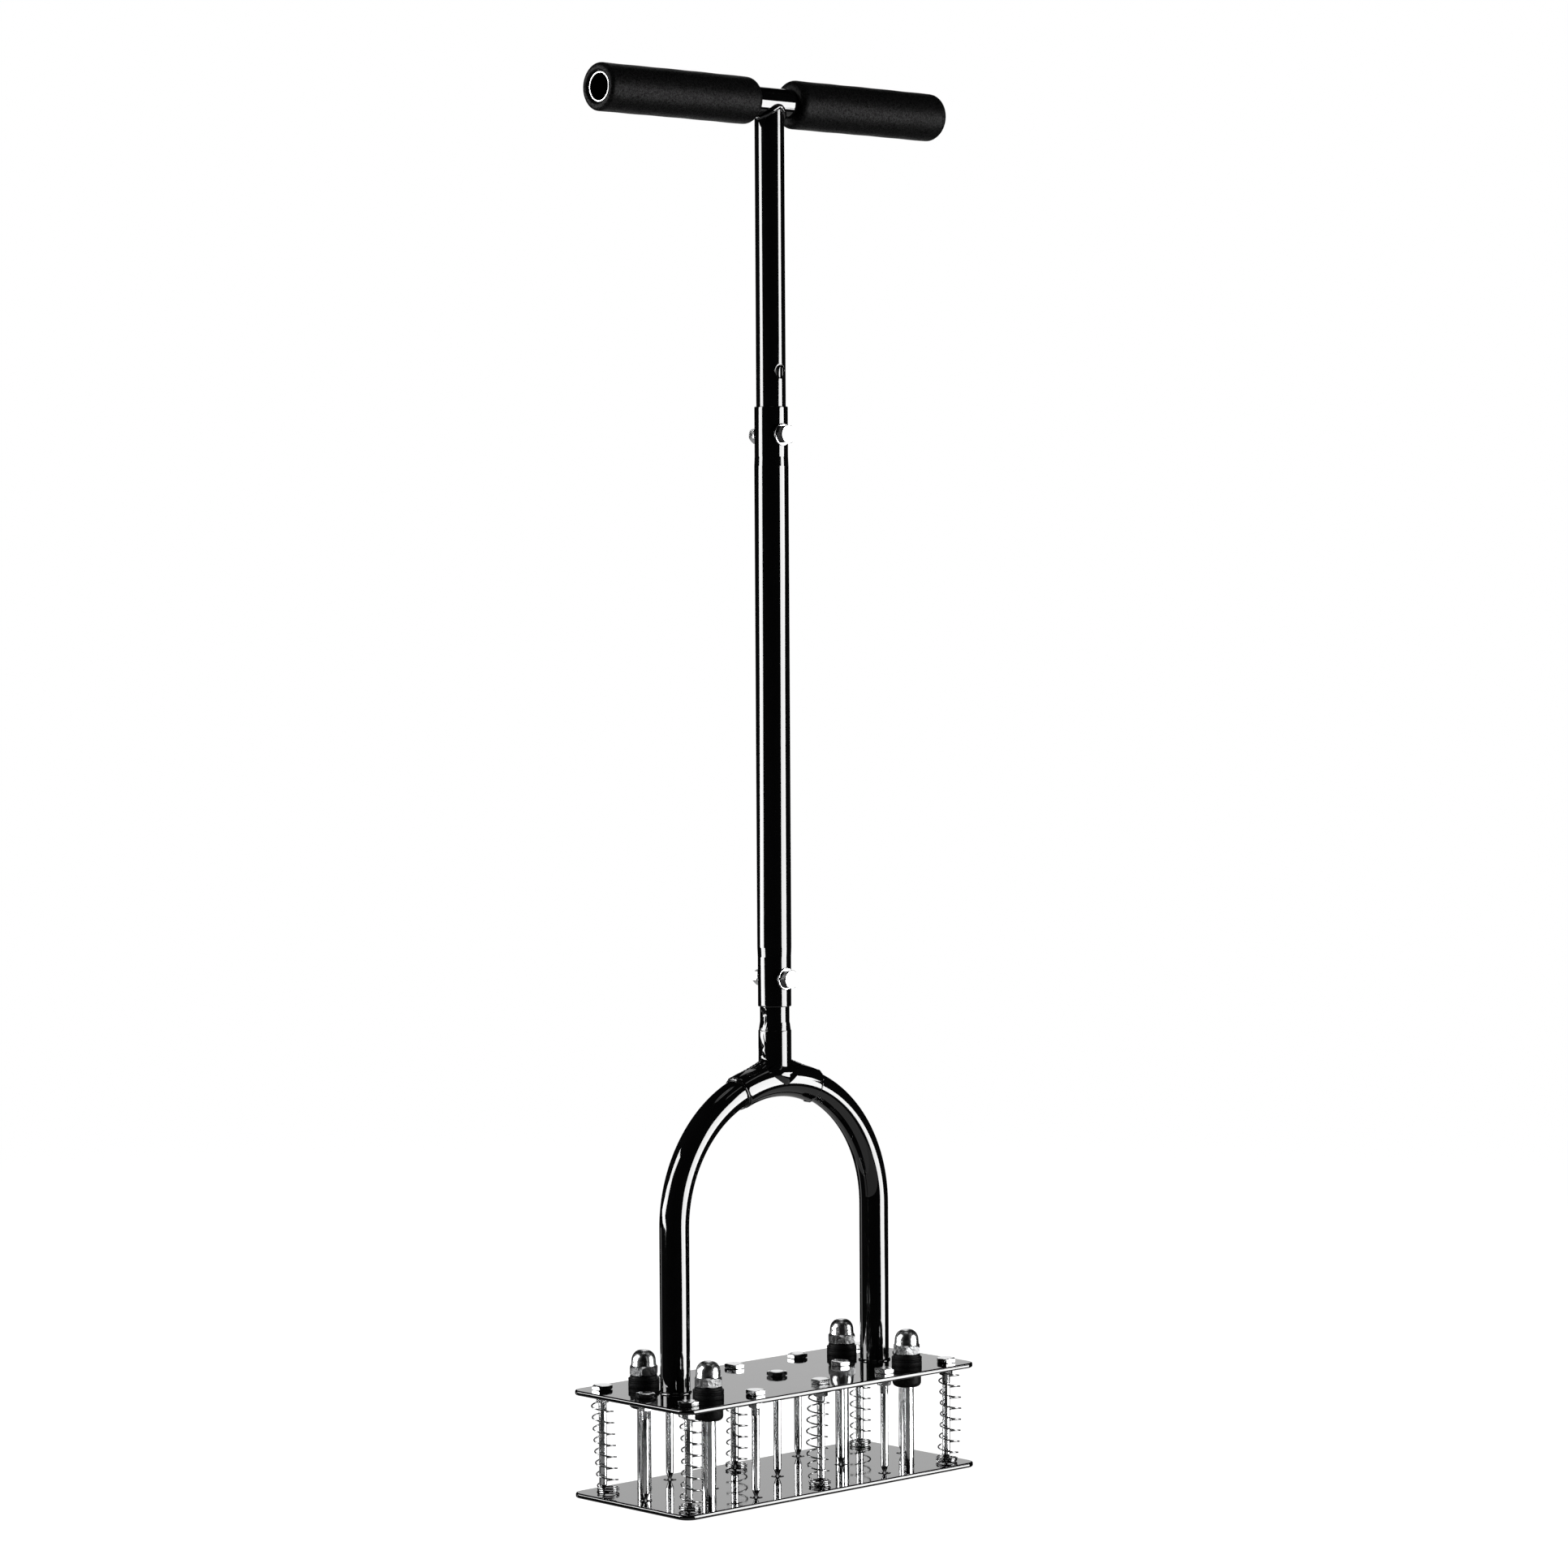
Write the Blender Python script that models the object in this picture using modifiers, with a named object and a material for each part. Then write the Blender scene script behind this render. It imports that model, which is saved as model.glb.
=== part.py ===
"""Manual lawn aerator: a T-handled tool with fifteen spikes under a fork and a sprung stripper plate.

Metres, +Z up. X runs along the plates and the handle, and Y across them. The origin is at the
centre of the stripper plate's underside, which is the face that the tool stands on.
"""

import math

import bmesh
import bpy
from mathutils import Matrix, Vector

# Plates
PLATE_LENGTH = 0.2566
PLATE_WIDTH = 0.1110
PLATE_THICKNESS = 0.0032
PLATE_CORNER = 0.0085
PLATE_GAP = 0.0623
CLEARANCE = 0.0003
GUIDE_CLEARANCE = 0.0001

# Spikes
SPIKE_COLUMNS = 5
SPIKE_ROWS = 3
SPIKE_TO_PLATE_END = 0.0149
SPIKE_TO_PLATE_SIDE = 0.0147
SPIKE_DIAMETER = 0.0050
SPIKE_THREAD_DIAMETER = 0.0055
SPIKE_THREAD_BELOW_NUT = 0.0050
SPIKE_TIP_LENGTH = 0.0055
SPIKE_TIP_DIAMETER = 0.0012
SPIKE_TIP_BELOW_SURFACE = 0.0005
SPIKE_HEAD_ACROSS_FLATS = 0.0120
SPIKE_HEAD_HEIGHT = 0.0028
WELD_NUT_ACROSS_FLATS = 0.0080
WELD_NUT_HEIGHT = 0.0050
SPIKE_ROW_TURN = math.radians(17.0)
SPIKE_COLUMN_TURN = math.radians(23.0)
STRIPPER_HOLE_DIAMETER = 0.0080

# Springs
SPRING_COLUMNS = (0, 2, 4)
SPRING_ROWS = (0, 2)
SPRING_OUTER_DIAMETER = 0.0145
SPRING_WIRE = 0.0010
SPRING_OPEN_TURNS = 8.0
SPRING_LOWER_CLOSED_TURNS = 2.0
SPRING_UPPER_CLOSED_TURNS = 0.5
SPRING_CLOSED_GAP = 0.0005
SPRING_POINTS_A_TURN = 8
SPRING_ROW_TURN = math.radians(65.0)
SPRING_COLUMN_TURN = math.radians(40.0)

# Guide posts, their cap nuts and their bushings
GUIDE_TO_PLATE_END = 0.0409
GUIDE_TO_PLATE_SIDE = 0.0249
GUIDE_DIAMETER = 0.0090
GUIDE_TIP_CHAMFER = 0.0008
CAP_NUT_ACROSS_FLATS = 0.0170
CAP_NUT_HEX_HEIGHT = 0.0062
CAP_NUT_DOME_DIAMETER = 0.0156
CAP_NUT_HEIGHT = 0.0162
CAP_NUT_BORE_DEPTH = 0.0115
CAP_NUT_FIRST_TURN = math.radians(15.0)
CAP_NUT_NEXT_TURN = math.radians(2.0)
BUSHING_HEIGHT_ABOVE = 0.0073
BUSHING_HEIGHT_BELOW = 0.0106
BUSHING_FLANGE_DIAMETER = 0.0198
BUSHING_TOP_DIAMETER = 0.0176
BUSHING_TOP_STEP = 0.0016
BUSHING_LOWER_DIAMETER = 0.0188
BUSHING_LOWER_ROUNDING = 0.0030
BUSHING_NECK_DIAMETER = 0.0150

# Fork and crown
TUBE_DIAMETER = 0.0190
TUBE_WALL = 0.0012
FORK_LEG_TO_PLATE_END = 0.0405
FORK_LEG_HEIGHT = 0.1037
CROWN_SLEEVE_DIAMETER = 0.0220
CROWN_HALF_ANGLE = math.radians(22.0)
CROWN_NECK_DIAMETER = 0.0213
CROWN_NECK_HEIGHT = 0.0347
CROWN_NECK_CHAMFER = 0.0006
CROWN_NECK_TAPER = 0.0018
CROWN_FLARE_HALF_LENGTH = 0.0250
CROWN_FLARE_HALF_WIDTH = 0.0085
CROWN_FLARE_HEIGHT = 0.0135
CROWN_WEB = 0.0012
CROWN_BORE_OVERRUN = math.radians(8.0)

# Pole and handle
MIDDLE_TUBE_DIAMETER = 0.0220
MIDDLE_TUBE_LENGTH = 0.3842
MIDDLE_TUBE_ABOVE_NECK = 0.0128
STEM_INSERTION = 0.0480
UPPER_TUBE_INSERTION = 0.0600
HANDLE_ABOVE_MIDDLE_TUBE = 0.1934
CROSSBAR_LENGTH = 0.2940
GRIP_SPACING = 0.0336
GRIP_DIAMETER = 0.0304
GRIP_END_ROUNDING = 0.0050

# Joint bolts
BOLT_DIAMETER = 0.0060
BOLT_TO_TUBE_END = 0.0180
BOLT_FLANGE_DIAMETER = 0.0140
BOLT_FLANGE_THICKNESS = 0.0019
BOLT_DOME_DIAMETER = 0.0110
BOLT_DOME_HEIGHT = 0.0045
BOLT_NUT_DIAMETER = 0.0100
BOLT_NUT_LENGTH = 0.0060
BOLT_NUT_BORE_DEPTH = 0.0042
BOLT_NUT_CHAMFER = 0.0012
ADJUSTING_HOLE_DIAMETER = 0.0080
ADJUSTING_HOLE_PITCH = 0.0402

# Sides of the round pieces
TUBE_SIDES = 24
FORK_SIDES = 16
FORK_ARCH_STEPS = 20
CROWN_SIDES = 16
CROWN_ARCH_STEPS = 6
SPRING_SIDES = 6
PLATE_HOLE_SIDES = 12
CORNER_STEPS = 5
SPIKE_SIDES = 12
SMALL_SIDES = 16
GRIP_SIDES = 24

# Spacings that follow from the sizes above
SPIKE_COLUMN_PITCH = (PLATE_LENGTH - 2 * SPIKE_TO_PLATE_END) / (SPIKE_COLUMNS - 1)
SPIKE_ROW_PITCH = (PLATE_WIDTH - 2 * SPIKE_TO_PLATE_SIDE) / (SPIKE_ROWS - 1)
GUIDE_SPACING_X = PLATE_LENGTH - 2 * GUIDE_TO_PLATE_END
GUIDE_SPACING_Y = PLATE_WIDTH - 2 * GUIDE_TO_PLATE_SIDE
FORK_SPACING = PLATE_LENGTH - 2 * FORK_LEG_TO_PLATE_END

# Heights that follow from the sizes above
STRIPPER_TOP = PLATE_THICKNESS
SPIKE_PLATE_BOTTOM = STRIPPER_TOP + PLATE_GAP
SPIKE_PLATE_TOP = SPIKE_PLATE_BOTTOM + PLATE_THICKNESS
BUSHING_TOP = SPIKE_PLATE_TOP + BUSHING_HEIGHT_ABOVE
BUSHING_BOTTOM = SPIKE_PLATE_BOTTOM - BUSHING_HEIGHT_BELOW
CAP_NUT_BOTTOM = BUSHING_TOP + CLEARANCE
FORK_RADIUS = FORK_SPACING / 2
ARCH_CENTRE = SPIKE_PLATE_TOP + FORK_LEG_HEIGHT
ARCH_TOP = ARCH_CENTRE + FORK_RADIUS
NECK_TOP = ARCH_TOP + CROWN_NECK_HEIGHT
MIDDLE_TUBE_BOTTOM = NECK_TOP + MIDDLE_TUBE_ABOVE_NECK
MIDDLE_TUBE_TOP = MIDDLE_TUBE_BOTTOM + MIDDLE_TUBE_LENGTH
HANDLE_HEIGHT = MIDDLE_TUBE_TOP + HANDLE_ABOVE_MIDDLE_TUBE
LOWER_BOLT_HEIGHT = MIDDLE_TUBE_BOTTOM + BOLT_TO_TUBE_END
UPPER_BOLT_HEIGHT = MIDDLE_TUBE_TOP - BOLT_TO_TUBE_END
TUBE_BORE = TUBE_DIAMETER - 2 * TUBE_WALL
SLEEVE_BORE = TUBE_DIAMETER + 2 * CLEARANCE
SOCKET_BOTTOM = ARCH_TOP + SLEEVE_BORE / 2 + CROWN_WEB
BOLT_HOLE_DIAMETER = BOLT_DIAMETER + 2 * CLEARANCE
GUIDE_HOLE_DIAMETER = GUIDE_DIAMETER + 2 * CLEARANCE
SPIKE_HOLE_DIAMETER = SPIKE_THREAD_DIAMETER + 2 * CLEARANCE
BUSHING_HOLE_DIAMETER = BUSHING_NECK_DIAMETER + 2 * CLEARANCE

BLACK_GLOSS = ("black_gloss_enamel", (0.012, 0.012, 0.013, 1.0), 0.12, 0.0)
BRIGHT_STEEL = ("bright_plated_steel", (0.72, 0.73, 0.74, 1.0), 0.18, 1.0)
BLACK_RUBBER = ("black_rubber", (0.018, 0.018, 0.019, 1.0), 0.55, 0.0)
BLACK_FOAM = ("black_foam", (0.022, 0.022, 0.023, 1.0), 0.85, 0.0)

parts = None
cutters = None
frame_empty = None
stripper_empty = None


def clear_scene():
    for obj in list(bpy.data.objects):
        bpy.data.objects.remove(obj, do_unlink=True)


def new_collection(name):
    collection = bpy.data.collections.new(name)
    bpy.context.scene.collection.children.link(collection)
    return collection


def new_empty(name):
    empty = bpy.data.objects.new(name, None)
    empty.empty_display_size = 0.03
    parts.objects.link(empty)
    return empty


def material(finish):
    name, colour, roughness, metallic = finish
    found = bpy.data.materials.get(name)
    if found:
        return found
    made = bpy.data.materials.new(name)
    made.use_nodes = True
    shader = made.node_tree.nodes["Principled BSDF"]
    shader.inputs["Base Color"].default_value = colour
    shader.inputs["Roughness"].default_value = roughness
    shader.inputs["Metallic"].default_value = metallic
    return made


def add_part(name, mesh, finish, parent, location=(0, 0, 0), rotation=(0, 0, 0)):
    """A named piece with its material, riding on the empty of its body."""
    if not mesh.materials:
        mesh.materials.append(material(finish))
    obj = bpy.data.objects.new(name, mesh)
    parts.objects.link(obj)
    obj.parent = parent
    obj.location = location
    obj.rotation_euler = rotation
    return obj


def add_cutter(name, mesh, location=(0, 0, 0), rotation=(0, 0, 0)):
    obj = bpy.data.objects.new(name, mesh)
    cutters.objects.link(obj)
    obj.location = location
    obj.rotation_euler = rotation
    obj.display_type = "WIRE"
    obj.hide_render = True
    return obj


def cut(obj, cutter, operation="DIFFERENCE"):
    modifier = obj.modifiers.new(cutter.name, "BOOLEAN")
    modifier.operation = operation
    modifier.solver = "EXACT"
    modifier.object = cutter
    return modifier


def smooth(mesh, angle=math.radians(35)):
    mesh.shade_smooth()
    mesh.set_sharp_from_angle(angle=angle)
    return mesh


def turned(name, profile, sides):
    """A solid of revolution about Z. The profile is (radius, height) pairs, top to bottom outside."""
    mesh = bpy.data.meshes.new(name)
    points = [(radius, 0.0, height) for radius, height in profile]
    edges = [(i, i + 1) for i in range(len(points) - 1)]
    closed = profile[0][0] > 0 or profile[-1][0] > 0
    if closed:
        edges.append((len(points) - 1, 0))
    mesh.from_pydata(points, edges, [])
    obj = bpy.data.objects.new(name, mesh)
    bpy.context.scene.collection.objects.link(obj)
    screw = obj.modifiers.new("Screw", "SCREW")
    screw.axis = "Z"
    screw.steps = sides
    screw.render_steps = sides
    screw.use_merge_vertices = True
    screw.merge_threshold = 0.000001
    screw.use_smooth_shade = True
    return baked(obj, name)


def baked(obj, name):
    """The evaluated mesh of a helper object, which is then removed."""
    bpy.context.view_layer.update()
    graph = bpy.context.evaluated_depsgraph_get()
    mesh = bpy.data.meshes.new_from_object(obj.evaluated_get(graph))
    mesh.name = name
    source = obj.data
    bpy.data.objects.remove(obj, do_unlink=True)
    if isinstance(source, bpy.types.Curve):
        bpy.data.curves.remove(source)
    work = bmesh.new()
    work.from_mesh(mesh)
    bmesh.ops.remove_doubles(work, verts=work.verts, dist=0.000001)
    bmesh.ops.recalc_face_normals(work, faces=work.faces)
    work.to_mesh(mesh)
    work.free()
    return smooth(mesh)


def cylinder_mesh(name, diameter, length, sides):
    """A closed cylinder about Z, from z 0 to its length."""
    work = bmesh.new()
    bmesh.ops.create_cone(
        work, cap_ends=True, segments=sides, radius1=diameter / 2, radius2=diameter / 2, depth=length
    )
    bmesh.ops.translate(work, vec=(0, 0, length / 2), verts=work.verts)
    mesh = bpy.data.meshes.new(name)
    work.to_mesh(mesh)
    work.free()
    return smooth(mesh)


def tube_mesh(name, outer, bore, length, sides):
    """An open-ended tube about Z, from z 0 to its length."""
    profile = [
        (bore / 2, length),
        (outer / 2, length),
        (outer / 2, 0.0),
        (bore / 2, 0.0),
    ]
    return turned(name, profile, sides)


def bar_mesh(name, points, diameter, sides, caps=True):
    """A round bar along points, as a bevelled curve made a mesh. Without caps it is an open skin."""
    points = list(points)
    curve = bpy.data.curves.new(name, "CURVE")
    curve.dimensions = "3D"
    curve.bevel_depth = diameter / 2
    curve.bevel_resolution = (sides - 4) // 2
    curve.use_fill_caps = caps
    spline = curve.splines.new("POLY")
    spline.points.add(len(points) - 1)
    for point, place in zip(spline.points, points):
        point.co = (*place, 1)
    obj = bpy.data.objects.new(name, curve)
    bpy.context.scene.collection.objects.link(obj)
    return baked(obj, name)


def arc(centre, radius, start, end, steps):
    """Points of an arc in degrees, both ends included."""
    for i in range(steps + 1):
        angle = math.radians(start + (end - start) * i / steps)
        yield centre[0] + radius * math.cos(angle), centre[1] + radius * math.sin(angle)


def plate_outline():
    half_length = PLATE_LENGTH / 2 - PLATE_CORNER
    half_width = PLATE_WIDTH / 2 - PLATE_CORNER
    corners = ((1, 1, 0), (-1, 1, 90), (-1, -1, 180), (1, -1, 270))
    for sign_x, sign_y, start in corners:
        centre = (sign_x * half_length, sign_y * half_width)
        yield from arc(centre, PLATE_CORNER, start, start + 90, CORNER_STEPS)


def circle_outline(centre, diameter, sides):
    for i in range(sides):
        angle = 2 * math.pi * i / sides
        yield centre[0] + diameter / 2 * math.cos(angle), centre[1] + diameter / 2 * math.sin(angle)


def plate_mesh(name, holes):
    """A flat plate with rounded corners and round holes, as a filled 2D curve."""
    curve = bpy.data.curves.new(name, "CURVE")
    curve.dimensions = "2D"
    curve.fill_mode = "BOTH"
    curve.extrude = PLATE_THICKNESS / 2
    outlines = [list(plate_outline())]
    outlines += [list(circle_outline(centre, size, PLATE_HOLE_SIDES)) for centre, size in holes]
    for outline in outlines:
        spline = curve.splines.new("POLY")
        spline.points.add(len(outline) - 1)
        for point, (x, y) in zip(spline.points, outline):
            point.co = (x, y, 0, 1)
        spline.use_cyclic_u = True
    obj = bpy.data.objects.new(name, curve)
    bpy.context.scene.collection.objects.link(obj)
    return baked(obj, name)


def spike_places():
    """(row, column, x, y) of each spike: row 0 is the front one, column 0 the left one."""
    for row in range(SPIKE_ROWS):
        for column in range(SPIKE_COLUMNS):
            x = (column - (SPIKE_COLUMNS - 1) / 2) * SPIKE_COLUMN_PITCH
            y = (row - (SPIKE_ROWS - 1) / 2) * SPIKE_ROW_PITCH
            yield row, column, x, y


def guide_places():
    names = ("front_left", "front_right", "back_left", "back_right")
    signs = ((-1, -1), (1, -1), (-1, 1), (1, 1))
    for name, (sign_x, sign_y) in zip(names, signs):
        yield name, sign_x * GUIDE_SPACING_X / 2, sign_y * GUIDE_SPACING_Y / 2


def stripper_plate():
    holes = [((x, y), STRIPPER_HOLE_DIAMETER) for _, _, x, y in spike_places()]
    holes += [((x, y), GUIDE_HOLE_DIAMETER) for _, x, y in guide_places()]
    mesh = plate_mesh("stripper_plate", holes)
    add_part("stripper_plate", mesh, BLACK_GLOSS, stripper_empty, (0, 0, PLATE_THICKNESS / 2))


def spike_plate():
    """The fixed plate, with a hex weld nut under each spike hole."""
    holes = [((x, y), BUSHING_HOLE_DIAMETER) for _, x, y in guide_places()]
    mesh = plate_mesh("spike_plate", holes)
    height = SPIKE_PLATE_BOTTOM + PLATE_THICKNESS / 2
    plate = add_part("spike_plate", mesh, BLACK_GLOSS, frame_empty, (0, 0, height))
    sunk = PLATE_THICKNESS / 4
    nut = hex_mesh("weld_nut", WELD_NUT_ACROSS_FLATS, WELD_NUT_HEIGHT + sunk)
    nuts = copies("weld_nuts", nut, SPIKE_PLATE_BOTTOM - WELD_NUT_HEIGHT)
    cut(plate, add_cutter("weld_nuts", nuts), "UNION")
    reach = WELD_NUT_HEIGHT + 2 * PLATE_THICKNESS
    drill = cylinder_mesh("spike_drill", SPIKE_HOLE_DIAMETER, 2 * reach, PLATE_HOLE_SIDES)
    cut(plate, add_cutter("spike_holes", copies("spike_holes", drill, SPIKE_PLATE_BOTTOM - reach)))


def copies(name, mesh, height):
    """One mesh with a copy of the given one at each spike's place."""
    work = bmesh.new()
    for _, _, x, y in spike_places():
        first = len(work.verts)
        work.from_mesh(mesh)
        work.verts.ensure_lookup_table()
        bmesh.ops.translate(work, vec=(x, y, height), verts=work.verts[first:])
    made = bpy.data.meshes.new(name)
    work.to_mesh(made)
    work.free()
    return made


def spike_mesh():
    """Hex head, threaded neck, plain shank and pointed tip. Its z 0 is the top of the spike plate."""
    tip = -(PLATE_THICKNESS + PLATE_GAP + SPIKE_TIP_BELOW_SURFACE)
    thread_end = -(PLATE_THICKNESS + WELD_NUT_HEIGHT + SPIKE_THREAD_BELOW_NUT)
    profile = [
        (0.0, SPIKE_HEAD_HEIGHT / 2),
        (SPIKE_THREAD_DIAMETER / 2, SPIKE_HEAD_HEIGHT / 2),
        (SPIKE_THREAD_DIAMETER / 2, thread_end),
        (SPIKE_DIAMETER / 2, thread_end),
        (SPIKE_DIAMETER / 2, tip + SPIKE_TIP_LENGTH),
        (SPIKE_TIP_DIAMETER / 2, tip),
        (0.0, tip),
    ]
    return turned("spike", profile, SPIKE_SIDES)


def hex_mesh(name, across_flats, height, bottom=0.0):
    corner_to_corner = across_flats / math.cos(math.pi / 6)
    mesh = cylinder_mesh(name, corner_to_corner, height, 6)
    mesh.transform(Matrix.Translation((0, 0, bottom)))
    return mesh


def spikes():
    shank = spike_mesh()
    head = hex_mesh("spike_head", SPIKE_HEAD_ACROSS_FLATS, SPIKE_HEAD_HEIGHT, CLEARANCE)
    for row, column, x, y in spike_places():
        name = f"spike_{('front', 'middle', 'back')[row]}_{column + 1}"
        turn = SPIKE_ROW_TURN * (row + 1) + SPIKE_COLUMN_TURN * column
        place = (x, y, SPIKE_PLATE_TOP)
        spike = add_part(name, shank.copy(), BRIGHT_STEEL, frame_empty, place, (0, 0, turn))
        cut(spike, add_cutter(name + "_head", head, place, (0, 0, turn)), "UNION")


def spring_points():
    """Centreline of one left-handed spring, from its lower end up, about the spike's axis."""
    radius = (SPRING_OUTER_DIAMETER - SPRING_WIRE) / 2
    closed_pitch = SPRING_WIRE + SPRING_CLOSED_GAP
    low = STRIPPER_TOP + CLEARANCE + SPRING_WIRE / 2
    high = SPIKE_PLATE_BOTTOM - CLEARANCE - SPRING_WIRE / 2
    turns = SPRING_LOWER_CLOSED_TURNS + SPRING_OPEN_TURNS + SPRING_UPPER_CLOSED_TURNS
    closed = (SPRING_LOWER_CLOSED_TURNS + SPRING_UPPER_CLOSED_TURNS) * closed_pitch
    open_pitch = (high - low - closed) / SPRING_OPEN_TURNS
    count = round(turns * SPRING_POINTS_A_TURN)
    for i in range(count + 1):
        turned_by = turns * i / count
        lower = min(turned_by, SPRING_LOWER_CLOSED_TURNS)
        upper = max(0.0, turned_by - SPRING_LOWER_CLOSED_TURNS - SPRING_OPEN_TURNS)
        middle = turned_by - lower - upper
        height = low + (lower + upper) * closed_pitch + middle * open_pitch
        angle = -2 * math.pi * turned_by
        yield Vector((radius * math.cos(angle), radius * math.sin(angle), height))


def least_gap(points):
    """Smallest distance between the wire's surfaces, measured between points over half a turn apart."""
    apart = SPRING_POINTS_A_TURN // 2
    pairs = (
        (points[j] - points[i]).length
        for i in range(len(points))
        for j in range(i + apart, len(points))
    )
    return min(pairs) - SPRING_WIRE


def springs():
    points = list(spring_points())
    print(f"spring: {least_gap(points) * 1000:.2f} mm least gap to itself")
    mesh = bar_mesh("spring", points, SPRING_WIRE, SPRING_SIDES)
    for row, column, x, y in spike_places():
        if row in SPRING_ROWS and column in SPRING_COLUMNS:
            name = f"spring_{('front', 'middle', 'back')[row]}_{column + 1}"
            turn = SPRING_COLUMN_TURN * column + SPRING_ROW_TURN * row
            add_part(name, mesh, BRIGHT_STEEL, frame_empty, (x, y, 0), (0, 0, turn))


def guide_posts():
    top = CAP_NUT_BOTTOM + CAP_NUT_BORE_DEPTH - CLEARANCE
    radius = GUIDE_DIAMETER / 2
    profile = [
        (0.0, top),
        (radius - GUIDE_TIP_CHAMFER, top),
        (radius, top - GUIDE_TIP_CHAMFER),
        (radius, CLEARANCE),
        (0.0, CLEARANCE),
    ]
    mesh = turned("guide_post", profile, SMALL_SIDES)
    for name, x, y in guide_places():
        add_part("guide_post_" + name, mesh, BRIGHT_STEEL, stripper_empty, (x, y, 0))


def cap_nuts():
    """Domed nuts on the guide posts, which stop the stripper plate's travel downwards."""
    dome_radius = CAP_NUT_DOME_DIAMETER / 2
    dome_base = CAP_NUT_HEIGHT - dome_radius
    bore = GUIDE_DIAMETER + 2 * CLEARANCE
    inside = CAP_NUT_HEX_HEIGHT / 2
    profile = list(arc((0, dome_base), dome_radius, 90, 0, 5))
    profile[0] = (0.0, CAP_NUT_HEIGHT)
    profile += [(dome_radius, inside), (0.0, inside)]
    dome = turned("cap_nut_dome", profile, SMALL_SIDES)
    hexagon = hex_mesh("cap_nut_hex", CAP_NUT_ACROSS_FLATS, CAP_NUT_HEX_HEIGHT)
    drill = cylinder_mesh("cap_nut_bore", bore, CAP_NUT_BORE_DEPTH + inside, SMALL_SIDES)
    for index, (name, x, y) in enumerate(guide_places()):
        place = (x, y, CAP_NUT_BOTTOM)
        turn = CAP_NUT_FIRST_TURN + CAP_NUT_NEXT_TURN * index
        nut = add_part("cap_nut_" + name, hexagon.copy(), BRIGHT_STEEL, stripper_empty, place, (0, 0, turn))
        below = (x, y, CAP_NUT_BOTTOM - inside)
        cut(nut, add_cutter(f"cap_nut_{name}_dome", dome, place), "UNION")
        cut(nut, add_cutter(f"cap_nut_{name}_bore", drill, below))


def bushings():
    """Rubber guide bushings held by their necks in the spike plate."""
    bore = GUIDE_DIAMETER / 2 + GUIDE_CLEARANCE
    flange = BUSHING_FLANGE_DIAMETER / 2
    lower = BUSHING_LOWER_DIAMETER / 2
    rounding = BUSHING_LOWER_ROUNDING
    seat = SPIKE_PLATE_TOP + CLEARANCE
    under = SPIKE_PLATE_BOTTOM - CLEARANCE
    step = BUSHING_TOP - BUSHING_TOP_STEP
    profile = [
        (bore, BUSHING_TOP),
        (BUSHING_TOP_DIAMETER / 2, BUSHING_TOP),
        (BUSHING_TOP_DIAMETER / 2, step),
        (flange, step),
        (flange, seat),
        (BUSHING_NECK_DIAMETER / 2, seat),
        (BUSHING_NECK_DIAMETER / 2, under),
        (lower, under),
    ]
    profile += arc((lower - rounding, BUSHING_BOTTOM + rounding), rounding, 0, -90, 3)
    profile.append((bore, BUSHING_BOTTOM))
    mesh = turned("bushing", profile, SMALL_SIDES)
    for name, x, y in guide_places():
        add_part("bushing_" + name, mesh, BLACK_RUBBER, frame_empty, (x, y, 0))


def fork_path():
    """Centreline of the bent tube, from the left leg's foot over the arch to the right one's."""
    foot = SPIKE_PLATE_TOP + CLEARANCE
    yield Vector((-FORK_RADIUS, 0, foot))
    for i in range(FORK_ARCH_STEPS + 1):
        angle = math.pi * (1 - i / FORK_ARCH_STEPS)
        x = FORK_RADIUS * math.cos(angle)
        z = ARCH_CENTRE + FORK_RADIUS * math.sin(angle)
        yield Vector((x, 0, z))
    yield Vector((FORK_RADIUS, 0, foot))


def fork_tube():
    mesh = bar_mesh("fork_tube", fork_path(), TUBE_DIAMETER, FORK_SIDES, caps=False)
    fork = add_part("fork_tube", mesh, BLACK_GLOSS, frame_empty)
    wall = fork.modifiers.new("Wall", "SOLIDIFY")
    wall.thickness = TUBE_WALL
    wall.offset = -1
    wall.use_rim = True


def arch_reach(half_angle):
    """Centreline of the top of the arch, from one side of the crown to the other."""
    for i in range(CROWN_ARCH_STEPS + 1):
        angle = half_angle * (2 * i / CROWN_ARCH_STEPS - 1)
        x = FORK_RADIUS * math.sin(angle)
        z = ARCH_CENTRE + FORK_RADIUS * math.cos(angle)
        yield Vector((x, 0, z))


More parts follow.
